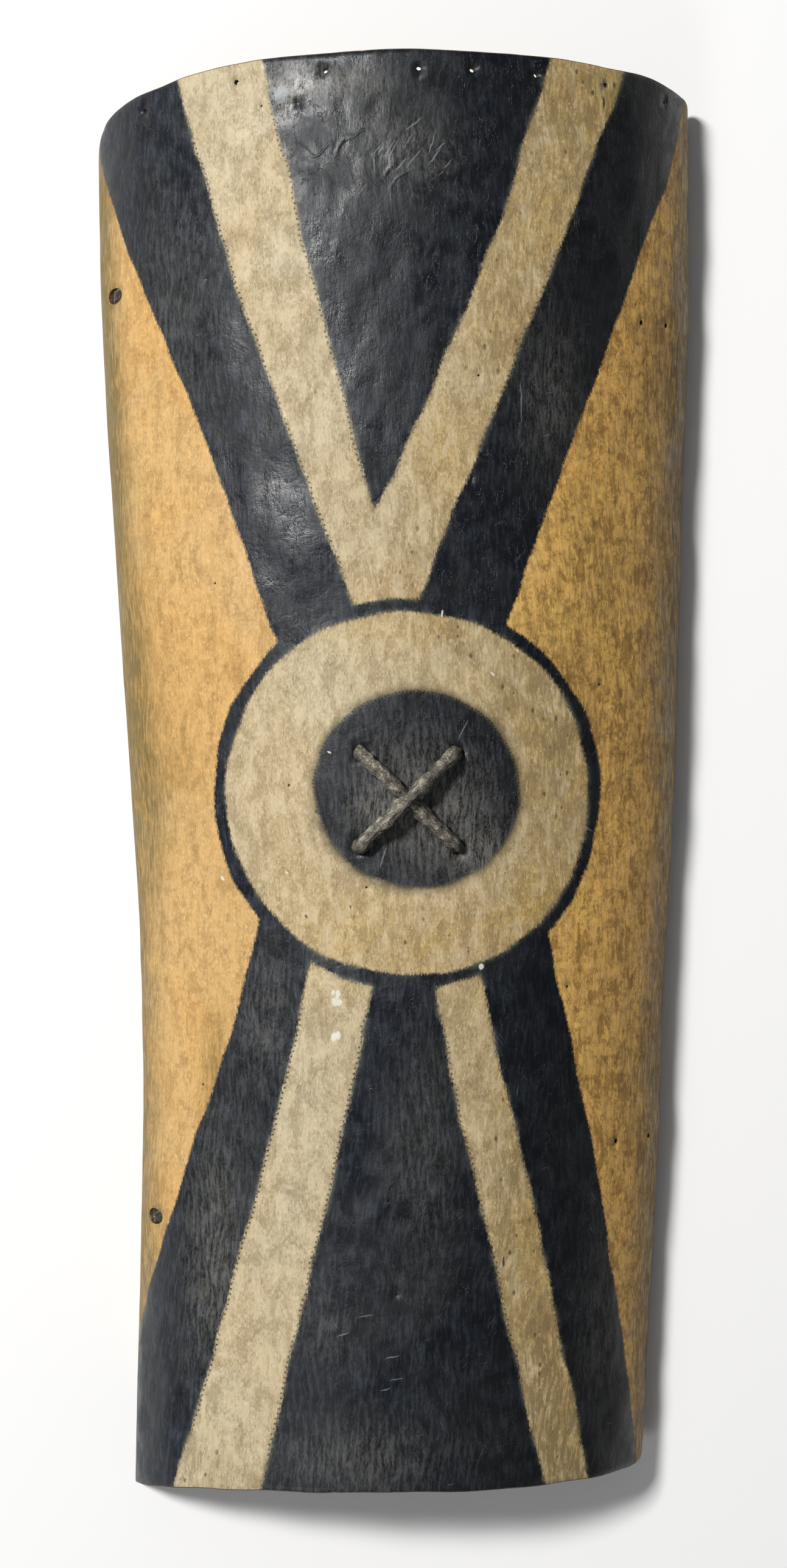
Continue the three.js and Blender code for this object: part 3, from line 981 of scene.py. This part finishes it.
    # scratches cut through the paint to the hide
    marks = None
    amount = graph.times_plus(worn, 0.32, graph.span(cloud, 0.4, 0.66, 0.0, 0.45))
    for turn, extent, width in ((0.2, 0.018, 0.0011), (-0.6, 0.016, 0.001), (1.3, 0.014, 0.001)):
        values = {"Vector": bent, "Turn": turn, "Length": extent, "Width": width, "Amount": amount}
        mark = graph.group(effect("scratch"), values)["Mask"]
        marks = mark if marks is None else graph.math("MAXIMUM", marks, mark)
    marks = graph.times(marks, 0.4)
    marks = graph.math("MAXIMUM", marks, marks_mask(graph, bent, PALE_SCRATCHES))
    on_black = graph.less(1.0, graph.math("MAXIMUM", lit, side))
    shade = graph.mix(graph.times(marks, graph.times_plus(on_black, 0.25, 0.3)),
                      shade, graph.mix(on_black, srgb(168, 156, 130), srgb(128, 136, 144)))
    dark = marks_mask(graph, bent, DARK_MARKS)
    shade = graph.mix(graph.times(dark, 0.85), shade, srgb(40, 30, 20))
    # painted shade: the blind pin pits are painted near black inside
    shade = graph.mix(graph.span(graph.field("pit"), 0.05, 0.5), shade, srgb(14, 13, 12))

    # rows of pricked dots
    rows = None
    for reach, offset, pitch, radius in (
        (pale_reach, 0.0012, 0.0047, 0.0012), (pale_reach, -0.0022, 0.0058, 0.0008),
        (disc_reach, 0.0001, 0.0029, 0.00085), (disc_reach, 0.0048, 0.0033, 0.00075),
    ):
        values = {"Distance": reach, "Run": graph.field("run"), "Offset": offset,
                  "Pitch": pitch, "Radius": radius, "Shift": 0.5 + offset}
        row = graph.group(effect("pricked"), values)["Mask"]
        rows = row if rows is None else graph.math("MAXIMUM", rows, row)
    rows = graph.times(rows, graph.field("pricked"))
    rows = graph.times(rows, graph.span(cloud, 0.34, 0.5, 0.35, 1.0))
    shade = graph.mix(graph.times(rows, 0.85), shade, srgb(16, 15, 14))

    # dabs of chalk
    dabs = marks_mask(graph, bent, CHALK_DABS)
    shade = graph.mix(graph.times(dabs, 0.8), shade, paint.chalk)

    # waxy black, chalkier pale paint
    rough = graph.times_plus(graph.math("MAXIMUM", lit, side), 0.18, 0.37)
    rough = graph.plus(rough, graph.span(cloud, 0.4, 0.6, -0.05, 0.1))
    rough = graph.plus(rough, graph.span(blotch, 0.4, 0.6, -0.04, 0.06))

    height = graph.times_plus(streak, 0.32, graph.times(cloud, 1.1))
    height = graph.times_plus(fine, 0.16, height)
    height = graph.times_plus(lost, -0.2, height)
    fold = graph.noise(graph.scaled(place, (24, 17, 1)), 1.0, 1.5, 0.5, 1.0)
    fold = graph.span(graph.math("ABSOLUTE", graph.less(fold, 0.5)), 0.07, 0.0)
    height = graph.times_plus(graph.times(fold, graph.field("creased")), 0.55, height)
    finish(graph, shader, shade, rough, height, 0.6, 0.0012)
    return material


def bare_hide():
    """The unpainted back: stained, fibrous hide with darker patches and pale scuffs."""
    paint = bpy.context.scene.shield_paint
    material, graph, shader = new_material("bare_hide")
    place = graph.unrolled()
    fibres = graph.group(effect("fibre"), {"Vector": place, "Length": 0.03, "Width": 0.002})
    blotch = graph.noise(place, 7.0, 5.0, 0.62)
    cloud = graph.noise(place, 46.0, 4.0, 0.6)
    shade = graph.mix(graph.span(blotch, 0.36, 0.66), paint.bare, paint.bare_dark)
    shade = graph.mix(graph.span(fibres["Streak"], 0.5, 0.75, 0.0, 0.5), shade, srgb(178, 148, 104))
    shade = graph.mix(graph.span(cloud, 0.5, 0.7, 0.0, 0.45), shade, srgb(96, 70, 44))
    rough = graph.span(cloud, 0.3, 0.7, 0.55, 0.75)
    height = graph.plus(graph.times(fibres["Streak"], 0.7), cloud)
    finish(graph, shader, shade, rough, height, 0.6, 0.0015)
    return material


def cut_edge():
    """The cut rim: layered dark hide, paler where it is knocked."""
    material, graph, shader = new_material("cut_edge")
    place = graph.add("ShaderNodeTexCoord").outputs["Object"]
    layers = graph.noise(graph.scaled(place, (120, 120, 900)), 1.0, 3.0)
    knocks = graph.noise(place, 60.0, 4.0, 0.7)
    shade = graph.mix(layers, srgb(52, 42, 32), srgb(96, 76, 52))
    shade = graph.mix(graph.span(knocks, 0.56, 0.72, 0.0, 0.8), shade, srgb(176, 148, 108))
    rough = graph.span(knocks, 0.3, 0.7, 0.6, 0.8)
    finish(graph, shader, shade, rough, layers, 0.6, 0.001)
    return material


def rawhide(name, dark, rubbed, streak_length):
    """Rawhide: crusty and dark in its hollows, rubbed pale where it stands up. On the thong the raised value
    also holds painted highlight on the side facing the lamp and painted shade on the far side.
    """
    material, graph, shader = new_material(name, Specular_IOR_Level=0.4)
    place = graph.unrolled()
    solid = graph.add("ShaderNodeTexCoord").outputs["Object"]
    fibres = graph.group(effect("fibre"), {"Vector": place, "Length": streak_length, "Width": 0.0016})
    crust = graph.noise(solid, 680.0, 3.0, 0.7)
    tint = graph.noise(solid, 110.0, 3.0, 0.6)
    raised = graph.times_plus(graph.less(crust, 0.5), 2.4, graph.field("raised"))
    shade = graph.mix(graph.span(raised, -0.15, 0.5), tuple(0.15 * part for part in dark), dark)
    shade = graph.mix(graph.span(tint, 0.42, 0.6, 0.0, 0.45), shade, tuple(0.6 * part for part in dark))
    shade = graph.mix(graph.times(graph.span(raised, 0.45, 1.15), 0.85), shade, rubbed)
    rough = graph.span(crust, 0.35, 0.65, 0.7, 0.5)
    height = graph.times_plus(fibres["Streak"], 0.5, graph.times(crust, 1.4))
    finish(graph, shader, shade, rough, height, 0.8, 0.0012)
    return material


def floor_paint():
    """A plain pale floor with a hardly visible mottle."""
    stage = bpy.context.scene.shield_stage
    material, graph, shader = new_material("pale_floor")
    place = graph.add("ShaderNodeTexCoord").outputs["Object"]
    mottle = graph.noise(place, 3.0, 3.0)
    low = tuple(0.985 * part for part in stage.floor)
    graph.feed(shader.inputs["Base Color"], graph.mix(mottle, low, tuple(stage.floor)))
    shader.inputs["Roughness"].default_value = 0.9
    return material


# ------------------------------------------------------------------------------- the pieces


class SHIELD_OT_hide_sheet(bpy.types.Operator):
    """Make the painted sheet of hide with its holes, broken edges, bare back and cut rim"""

    bl_idname = "shield.hide_sheet"
    bl_label = "Hide Sheet"

    def execute(self, context):
        sizes = context.scene.shield_hide
        hide = Hide(sizes)
        columns, rows = sizes.columns, sizes.rows

        # columns are evenly spaced round the middle section
        share = np.linspace(-1, 1, columns + 1)
        reach = hide.around(np.array(np.pi / 2), hide.middle)
        base = np.clip(hide.angle_at(share * reach, hide.middle), -np.pi / 2, np.pi / 2)
        step = np.linspace(0, 1, rows + 1)[:, None]
        low = hide.end(base, -1) + sizes.lip + 0.0004 * waves(base, 0 * base, 0.35, 5)
        high = hide.end(base, 1) - sizes.lip + 0.0004 * waves(base, 0 * base, 0.3, 6)
        y = low + (high - low) * step
        angle = np.broadcast_to(base, y.shape).copy()

        # the long edges stand on their lip and are broken back in places
        for side in (-1, 1):
            _, _, rise = hide.section(y)
            lost = np.arcsin((edge_loss(y, side) + sizes.lip) / rise)
            weight = np.clip(side * base / (np.pi / 2), 0, 1) ** 10
            angle = angle - side * lost * weight

        # a ring of grid points closes round each hole, and the points inside it go
        removed = np.zeros((rows, columns), bool)
        walls = []
        sunk = np.zeros(y.shape)
        for hole_angle, hole_y, half_width, half_height, through in hole_list(hide):
            pace = hide.pace(hole_angle, hole_y)
            apart = ((angle - hole_angle) * pace) ** 2 + (y - hole_y) ** 2
            row, column = np.unravel_index(apart.argmin(), apart.shape)
            tall = 2 if half_height > 0.005 else 1
            wide = 3 if half_width > 0.009 else tall
            ring = box_ring(tall, wide)
            spin = np.arctan2(ring[:, 0] / tall, ring[:, 1] / wide)
            at = (row + ring[:, 0], column + ring[:, 1])
            angle[at] = hole_angle + half_width * np.cos(spin) / pace
            y[at] = hole_y + half_height * np.sin(spin)
            if through:
                removed[row - tall:row + tall, column - wide:column + wide] = True
                walls.append(at[0] * (columns + 1) + at[1])
            else:
                angle[row, column], y[row, column] = hole_angle, hole_y
                sunk[row, column] = PIT_DEPTH

        around = hide.around(angle, y)
        sway = waves(around, y, 0.22, 11) + 0.4 * waves(around, y, 0.075, 12)
        sway += 0.2 * waves(around, 0.5 * y, 0.028, 14) + 0.09 * waves(around, 0.6 * y, 0.014, 15)
        sway *= sizes.sway
        calm = np.clip(np.cos(angle) * 4, 0, 1)
        front = hide.face(angle, y, sunk - sway * calm)
        uneven = 0.0003 * waves(around, y, 0.05, 13)
        back = hide.face(angle, y, sizes.thickness - (sway + uneven) * calm)
        front[..., 2] = np.maximum(front[..., 2], sizes.lip)
        back[..., 2] = np.maximum(back[..., 2], sizes.lip)

        count = y.size
        kept = ~removed.ravel()
        front_faces = grid_faces(rows + 1, columns + 1)[kept]
        back_faces = grid_faces(rows + 1, columns + 1, count)[kept][:, ::-1]
        points = [front.reshape(-1, 3), back.reshape(-1, 3)]
        places = [np.stack([around, y], -1).reshape(-1, 2)] * 2

        # the rim bulges from the face to the back in three steps of half a circle
        loop = boundary(rows + 1, columns + 1)
        edge_front, edge_back = points[0][loop], points[1][loop]
        ahead = np.roll(edge_front, -1, 0) - np.roll(edge_front, 1, 0)
        through = edge_front - edge_back
        out = np.cross(ahead, through)
        out /= np.linalg.norm(out, axis=1, keepdims=True)
        rim = [loop]
        for turn in np.radians((-40, 0, 40)):
            mid = (edge_front + edge_back) / 2 - through * np.sin(turn) / (2 * np.sin(np.pi / 3))
            bulge = sizes.lip * np.cos(turn) * (1 + 0.1 * np.sin(3 * turn))
            points.append(mid + out * bulge)
            places.append(places[0][loop])
            rim.append(count * 2 + len(loop) * (len(rim) - 1) + np.arange(len(loop)))
        rim.append(loop + count)
        rim_faces = []
        for first, second in zip(rim[:-1], rim[1:]):
            rim_faces.append(np.stack([np.roll(first, -1), first, second, np.roll(second, -1)], -1))
        wall_faces = [
            np.stack([ring, np.roll(ring, -1), np.roll(ring, -1) + count, ring + count], -1)
            for ring in walls
        ]
        edge_faces = np.concatenate(rim_faces + wall_faces)
        wall_count = sum(len(ring) for ring in walls)
        points, places = np.concatenate(points), np.concatenate(places)
        points[:, 2] = np.maximum(points[:, 2], 0)
        faces = np.concatenate([front_faces, back_faces, edge_faces])
        kinds = np.repeat([0, 1, 2], [len(front_faces), len(back_faces), len(edge_faces)])
        smooth = np.arange(len(faces)) < len(faces) - wall_count

        fields = painted_fields(places[:, 0], places[:, 1])
        half_girth = hide.around(np.full(len(places), np.pi / 2), places[:, 1])
        fields["rim"] = half_girth - np.abs(places[:, 0])
        # marks the sunk points, where the pits are painted near black as painted shade
        fields["pit"] = np.r_[sunk.ravel() > 0, np.zeros(len(places) - count)]
        materials = (painted_hide(), bare_hide(), cut_edge())
        piece = mesh_piece("painted_hide_sheet", points, faces, materials, places, fields, kinds, smooth)
        drop_loose(piece)
        place_piece(piece, "painted_hide", "hide_sheet")
        return {"FINISHED"}


def box_ring(tall, wide):
    """Row and column steps round a box of points, in order and anticlockwise."""
    across, up = np.arange(-wide, wide), np.arange(-tall, tall)
    low, high = -tall + 0 * across, tall + 0 * across
    left, right = -wide + 0 * up, wide + 0 * up
    sides = ((low, across), (up, right), (high, -across), (-up, left))
    return np.concatenate([np.stack(side, -1) for side in sides])


def boundary(rows, columns):
    """Numbers of the outer points of a grid, in order and anticlockwise."""
    number = np.arange(rows * columns).reshape(rows, columns)
    return np.concatenate([number[0, :-1], number[:-1, -1], number[-1, :0:-1], number[:0:-1, 0]])


def drop_loose(piece):
    """Removes the points inside the holes, which no face uses."""
    work = bmesh.new()
    work.from_mesh(piece.data)
    bmesh.ops.delete(work, geom=[v for v in work.verts if not v.link_faces], context="VERTS")
    work.to_mesh(piece.data)
    work.free()


# Radius of the open ring that each end of a tube is drawn in to
END_RADIUS = 1e-5


def carried(path, steps, sides, profile):
    """The points of a tube: a profile carried along a smooth path.

    The path is a Catmull-Rom curve through its points, evenly stepped by length. The profile
    gives the distance from the path for each step and side. The ends aren't capped: a profile
    draws them in to a ring of END_RADIUS.
    """
    path = np.asarray(path, float)
    dense = np.linspace(0, len(path) - 1, 40 * len(path))
    curve = np.stack([smooth_steps(path[:, i], dense) for i in range(3)], -1)
    walked = np.r_[0, np.cumsum(np.linalg.norm(np.diff(curve, axis=0), axis=1))]
    run = np.linspace(0, walked[-1], steps)
    spine = np.stack([np.interp(run, walked, curve[:, i]) for i in range(3)], -1)
    ahead = np.gradient(spine, axis=0)
    ahead /= np.linalg.norm(ahead, axis=1, keepdims=True)
    # the first normal is carried along with the least turn
    normal = np.zeros_like(spine)
    start = np.cross(ahead[0], (0.3, 0.2, 1.0))
    normal[0] = start / np.linalg.norm(start)
    for i in range(1, steps):
        moved = normal[i - 1] - ahead[i] * (normal[i - 1] @ ahead[i])
        normal[i] = moved / np.linalg.norm(moved)
    across = np.cross(ahead, normal)
    turn = np.arange(sides) * 2 * np.pi / sides
    out = profile(run[:, None], turn[None, :])
    points = (
        spine[:, None]
        + normal[:, None] * (out * np.cos(turn))[..., None]
        + across[:, None] * (out * np.sin(turn))[..., None]
    )
    return points, run, turn, spine


# Where a thong passes through each hole, as a share of its length from the nearer end
HOLE_SHARE = 0.22
# The foot that a thong ends beside, from the crossing, as shares of the grip's width and length
FOOT_ASIDE = 0.62
FOOT_ALONG = 0.42
# Room between a thong and the back of the hide
BACK_ROOM = 0.0024


class SHIELD_OT_lashings(bpy.types.Operator):
    """Make the two crossed thongs of crusty rawhide, through the hide and out to the grip"""

    bl_idname = "shield.lashings"
    bl_label = "Crossed Lashing"

    def execute(self, context):
        sizes = context.scene.shield_lashing
        hide = Hide(context.scene.shield_hide)
        material = rawhide("rawhide_thong", tuple(sizes.thong), tuple(sizes.thong_rubbed_and_lit), 0.009)
        for name, across, lift, seed in (("under", -1, 1.15, 21), ("over", 1, 3.0, 22)):
            path = self.path(hide, sizes, across, lift * sizes.cord / 2)
            piece = self.thong(f"lashing_{name}_thong", path, sizes, material, seed)
            place_piece(piece, "rawhide_lashing", f"lashing_{name}")
        return {"FINISHED"}

    def path(self, hide, sizes, across, lift):
        """The route of one arm: behind the hide beside a foot of the grip, up through a hole,
        over the face, down through the far hole and behind to the other foot."""
        radius = sizes.cord / 2
        middle = np.array([*crossing(), 0.0])
        middle[2] = hide.over(*middle[:2]) + lift + 0.0004
        depth = hide.sizes.thickness
        bend = radius * 1.35
        points = []

        def behind(point):
            """The point moved down to the thong's place behind the hide."""
            return np.array([point[0], point[1], hide.over(*point[:2]) - depth - radius - BACK_ROOM])

        for up in (1, -1):
            side = across * up
            hole = middle + (side * sizes.spread_x, up * sizes.spread_y, 0)
            hole[2] = hide.over(*hole[:2])
            inward = (middle - hole) * (1, 1, 0)
            inward /= np.linalg.norm(inward)
            foot = middle + (side * (GRIP_HIGH[0] - GRIP_LOW[0]) * FOOT_ASIDE,
                             up * (GRIP_HIGH[1] - GRIP_LOW[1]) * FOOT_ALONG, 0)
            outward = (foot - hole) * (1, 1, 0)
            outward /= np.linalg.norm(outward)
            half = [
                behind(foot),
                behind(hole + outward * bend * 1.3),
                hole + outward * bend * 0.3 - (0, 0, depth + radius * 1.1),
                hole - (0, 0, depth / 2),
                hole + inward * bend * 0.25 + (0, 0, bend * 0.55),
                hole + inward * bend + (0, 0, max(radius + 0.0006, lift * 0.5)),
            ]
            points += half if up > 0 else [middle] + half[::-1]
        return points

    def thong(self, name, path, sizes, material, seed):
        """A thong of crusty rawhide: its radius is swelled by slow waves and roughened by fine
        ones, and it narrows in the holes and is rounded off at its ends."""
        radius = sizes.cord / 2
        ridges = {}

        def profile(run, turn):
            """Radius of the thong, with its ridges kept for the finish."""
            total = run.max()
            up, beside = radius * np.cos(turn), radius * np.sin(turn)
            along = run + 0 * turn
            folds = waves(0.5 * along, up, 0.012, seed) + waves(0.5 * along, beside, 0.011, seed + 30)
            rough = waves(0.5 * along, up, 0.0048, seed + 60) + waves(0.5 * along, beside, 0.0044, seed + 90)
            swell = waves(along, 0 * up, 0.024, seed + 120)
            end = np.clip(np.minimum(run, total - run) / (radius * 0.9), 0, 1)
            drawn_in = np.sqrt(1 - (1 - end) ** 2)
            ridges["raised"] = 0.04 * folds + 0.12 * rough
            at_hole = np.minimum(np.abs(run - total * HOLE_SHARE), np.abs(run - total * (1 - HOLE_SHARE)))
            neck = 1 - 0.06 * np.exp(-((at_hole / 0.008) ** 2))
            uneven = 0.89 + 0.05 * folds + 0.035 * rough + 0.04 * swell
            return neck * radius * uneven * drawn_in + END_RADIUS

        steps, sides = 420, 72
        points, run, turn, spine = carried(path, steps, sides, profile)
        # painted highlight and shade: the side that faces up and to the left, towards the key lamp, is made
        # pale, and the far side dark
        aside = points - spine[:, None]
        lamp_facing = (aside @ np.array((-0.45, 0.35, 0.82))) / (np.linalg.norm(aside, axis=2) + 1e-6)
        raised = ridges["raised"] - 0.04 + 0.66 * np.maximum(lamp_facing, -0.2)
        along = np.broadcast_to(run[:, None], (steps, sides))
        round_ = np.broadcast_to(turn * radius, (steps, sides))
        unrolled = np.stack([round_, along], -1)
        return mesh_piece(name, points.reshape(-1, 3), grid_faces(steps, sides, wrap=True), (material,),
                          unrolled.reshape(-1, 2), {"raised": raised.ravel()})


class SHIELD_OT_hand_grip(bpy.types.Operator):
    """Make the bowed hand grip, bound with a rawhide strip"""

    bl_idname = "shield.hand_grip"
    bl_label = "Hand Grip"

    def execute(self, context):
        sizes = context.scene.shield_lashing
        hide = Hide(context.scene.shield_hide)
        x, y = crossing()
        span = GRIP_HIGH[1] - GRIP_LOW[1]
        bow = np.array([(0.497, 0), (0.39, 0.02), (0.29, 0.25), (0.19, 0.8), (0, 1)])
        bow = np.concatenate([bow, bow[-2::-1] * (-1, 1)])
        half_depth = 0.0078
        heights = hide.section(y + bow[:, 0] * span)[2] - hide.sizes.thickness - half_depth - 0.0009
        drop = heights.max() - half_depth - GRIP_LOW[2] - 0.0024
        path = np.stack([np.full(len(bow), x), y + bow[:, 0] * span, heights - bow[:, 1] * drop], -1)
        half_width = (GRIP_HIGH[0] - GRIP_LOW[0]) / 2
        ridge = {}

        def profile(run, turn):
            """Radius of the bound grip, with the rolls of the strip kept for the finish."""
            total = run.max()
            slant = run + 0.003 * np.cos(turn - 0.6) + 0.0006 * waves(turn + 0 * run, run, 0.05, 31)
            lap = np.mod(slant / sizes.wrap, 1)
            roll = np.sin(np.pi * lap) ** 0.5
            ridge["raised"] = roll * 0.55 + 0.12 * waves(run + 0 * turn, turn + 0 * run, 0.8, 33)
            # an oval, wider across the hand than it is deep
            oval = 1 / np.sqrt((np.sin(turn) / half_depth) ** 2 + (np.cos(turn) / half_width) ** 2)
            end = np.clip(np.minimum(run, total - run) / 0.006, 0, 1)
            return oval * (0.9 + 0.09 * roll) * np.sqrt(1 - (1 - end) ** 2) + END_RADIUS

        steps, sides = 420, 48
        points, run, turn, _ = carried(path, steps, sides, profile)
        along = np.broadcast_to(run[:, None], (steps, sides))
        round_ = np.broadcast_to(turn * half_width, (steps, sides))
        unrolled = np.stack([along, round_], -1).reshape(-1, 2)
        material = rawhide("bound_grip", tuple(sizes.grip), srgb(168, 132, 88), 0.012)
        piece = mesh_piece("bound_hand_grip", points.reshape(-1, 3), grid_faces(steps, sides, wrap=True),
                           (material,), unrolled, {"raised": ridge["raised"].ravel()})
        place_piece(piece, "bound_grip", "hand_grip")
        return {"FINISHED"}


class SHIELD_OT_edge_pegs(bpy.types.Operator):
    """Make the two wads of hide that fill the holes by the left edge"""

    bl_idname = "shield.edge_pegs"
    bl_label = "Edge Pegs"

    def execute(self, context):
        sizes = context.scene.shield_lashing
        hide = Hide(context.scene.shield_hide)
        material = rawhide("twisted_peg", srgb(74, 64, 52), srgb(156, 146, 126), 0.006)
        for seed, name in enumerate(PEG_NAMES):
            angle, y = peg_place(hide, name)
            outward = hide.outward(np.array([angle]), np.array([y]))[0]
            across = np.cross((0.0, 1.0, 0.0), outward)
            base = hide.face(np.array([angle]), np.array([y]))[0]
            rows, sides = 72, 96
            turn = np.arange(sides) * 2 * np.pi / sides
            up = np.linspace(-1, 1, rows)[:, None]
            spread = (1 - np.abs(up) ** 4) ** (1 / 2)
            x_part, y_part = spread * np.cos(turn), spread * np.sin(turn)
            # a bent ridge crosses the wad, with a hollow on each side
            aslant = x_part * 0.94 - y_part * 0.55 - 0.12 + 0.2 * np.sin(3.4 * y_part + 0.6)
            ridge = np.exp(-((aslant / 0.2) ** 2)) + 0.25 * np.exp(-(((x_part - 0.55) / 0.4) ** 2))
            rough = waves(x_part * 0.011 + 0 * up, y_part * 0.007 + up * 0.004, 0.0042, 60 + seed)
            out = sizes.peg * spread * (0.95 + 0.02 * rough)
            top = np.clip(up, 0, 1) ** 0.5
            height = 0.004 * up + top * (0.003 * ridge - 0.0034 + 0.0004 * rough)
            points = (
                base - outward * PEG_SUNK
                + outward * height[..., None]
                + across * (out * np.cos(turn) * PEG_DRAWN)[..., None]
                + np.array((0.0, 1.0, 0.0)) * (out * np.sin(turn))[..., None]
            )
            unrolled = np.stack([np.broadcast_to(turn * sizes.peg, out.shape),
                                 np.broadcast_to(up * 0.01, out.shape)], -1)
            raised = np.broadcast_to(0.12 + 0.62 * ridge + 0.1 * rough, out.shape)
            piece = mesh_piece(f"{name}_plug", points.reshape(-1, 3), grid_faces(rows, sides, wrap=True),
                               (material,), unrolled.reshape(-1, 2), {"raised": raised.ravel()})
            place_piece(piece, "hide_pegs", name)
        return {"FINISHED"}


class SHIELD_OT_stage(bpy.types.Operator):
    """Make the pale floor, the lamps and the camera that looks straight down"""

    bl_idname = "shield.stage"
    bl_label = "Stage"

    def execute(self, context):
        stage = context.scene.shield_stage
        reach = 6.0
        corners = [(-reach, -reach, 0), (reach, -reach, 0), (reach, reach, 0), (-reach, reach, 0)]
        floor = mesh_piece("floor", np.array(corners) - (0, 0, 0.0002), [(0, 1, 2, 3)], (floor_paint(),))

        self.lamp("key_lamp", (-2.5, 1.9, 4.7), 0.9, stage.key, (1.0, 0.99, 0.97))
        self.lamp("side_lamp", (-2.0, -3.2, 3.6), 1.6, 0.12 * stage.key, (0.97, 0.98, 1.0))
        world = bpy.data.worlds.new("soft_air")
        world.use_nodes = True
        air = world.node_tree.nodes["Background"]
        air.inputs["Color"].default_value = (0.96, 0.98, 1.0, 1.0)
        air.inputs["Strength"].default_value = stage.air
        context.scene.world = world
        context.scene.view_settings.view_transform = "Standard"

        data = bpy.data.cameras.new("camera")
        data.lens = stage.lens
        data.clip_end = 50
        camera = bpy.data.objects.new("camera", data)
        camera.location = (0.0, 0.006, stage.height)
        context.scene.collection.objects.link(camera)
        context.scene.camera = camera
        return {"FINISHED"}

    def lamp(self, name, place, size, power, tint):
        """A square soft lamp aimed at the middle of the shield."""
        data = bpy.data.lights.new(name, "AREA")
        data.size = size
        data.energy = power
        data.color = tint
        lamp = bpy.data.objects.new(name, data)
        lamp.location = place
        aim = Vector((0, 0, 0.1)) - Vector(place)
        lamp.rotation_euler = aim.to_track_quat("-Z", "Y").to_euler()
        bpy.context.scene.collection.objects.link(lamp)


STEPS = (
    SHIELD_OT_hide_sheet,
    SHIELD_OT_lashings,
    SHIELD_OT_hand_grip,
    SHIELD_OT_edge_pegs,
    SHIELD_OT_stage,
)


class SHIELD_PT_panel(bpy.types.Panel):
    """Lists the shield's pieces in the sidebar"""

    bl_idname = "SHIELD_PT_panel"
    bl_label = "Hide Shield"
    bl_space_type = "VIEW_3D"
    bl_region_type = "UI"
    bl_category = "Shield"

    def draw(self, context):
        for step in STEPS:
            self.layout.operator(step.bl_idname)


def register():
    """Registers the settings, the operators and the panel."""
    for name, settings in SETTINGS.items():
        bpy.utils.register_class(settings)
        setattr(bpy.types.Scene, name, PointerProperty(type=settings))
    for step in (*STEPS, SHIELD_PT_panel):
        bpy.utils.register_class(step)


def unregister():
    """Undoes register."""
    for step in reversed((*STEPS, SHIELD_PT_panel)):
        bpy.utils.unregister_class(step)
    for name, settings in SETTINGS.items():
        delattr(bpy.types.Scene, name)
        bpy.utils.unregister_class(settings)


def main():
    register()
    bpy.ops.shield.hide_sheet()
    bpy.ops.shield.lashings()
    bpy.ops.shield.hand_grip()
    bpy.ops.shield.edge_pegs()
    bpy.ops.shield.stage()


if __name__ == "__main__":
    main()
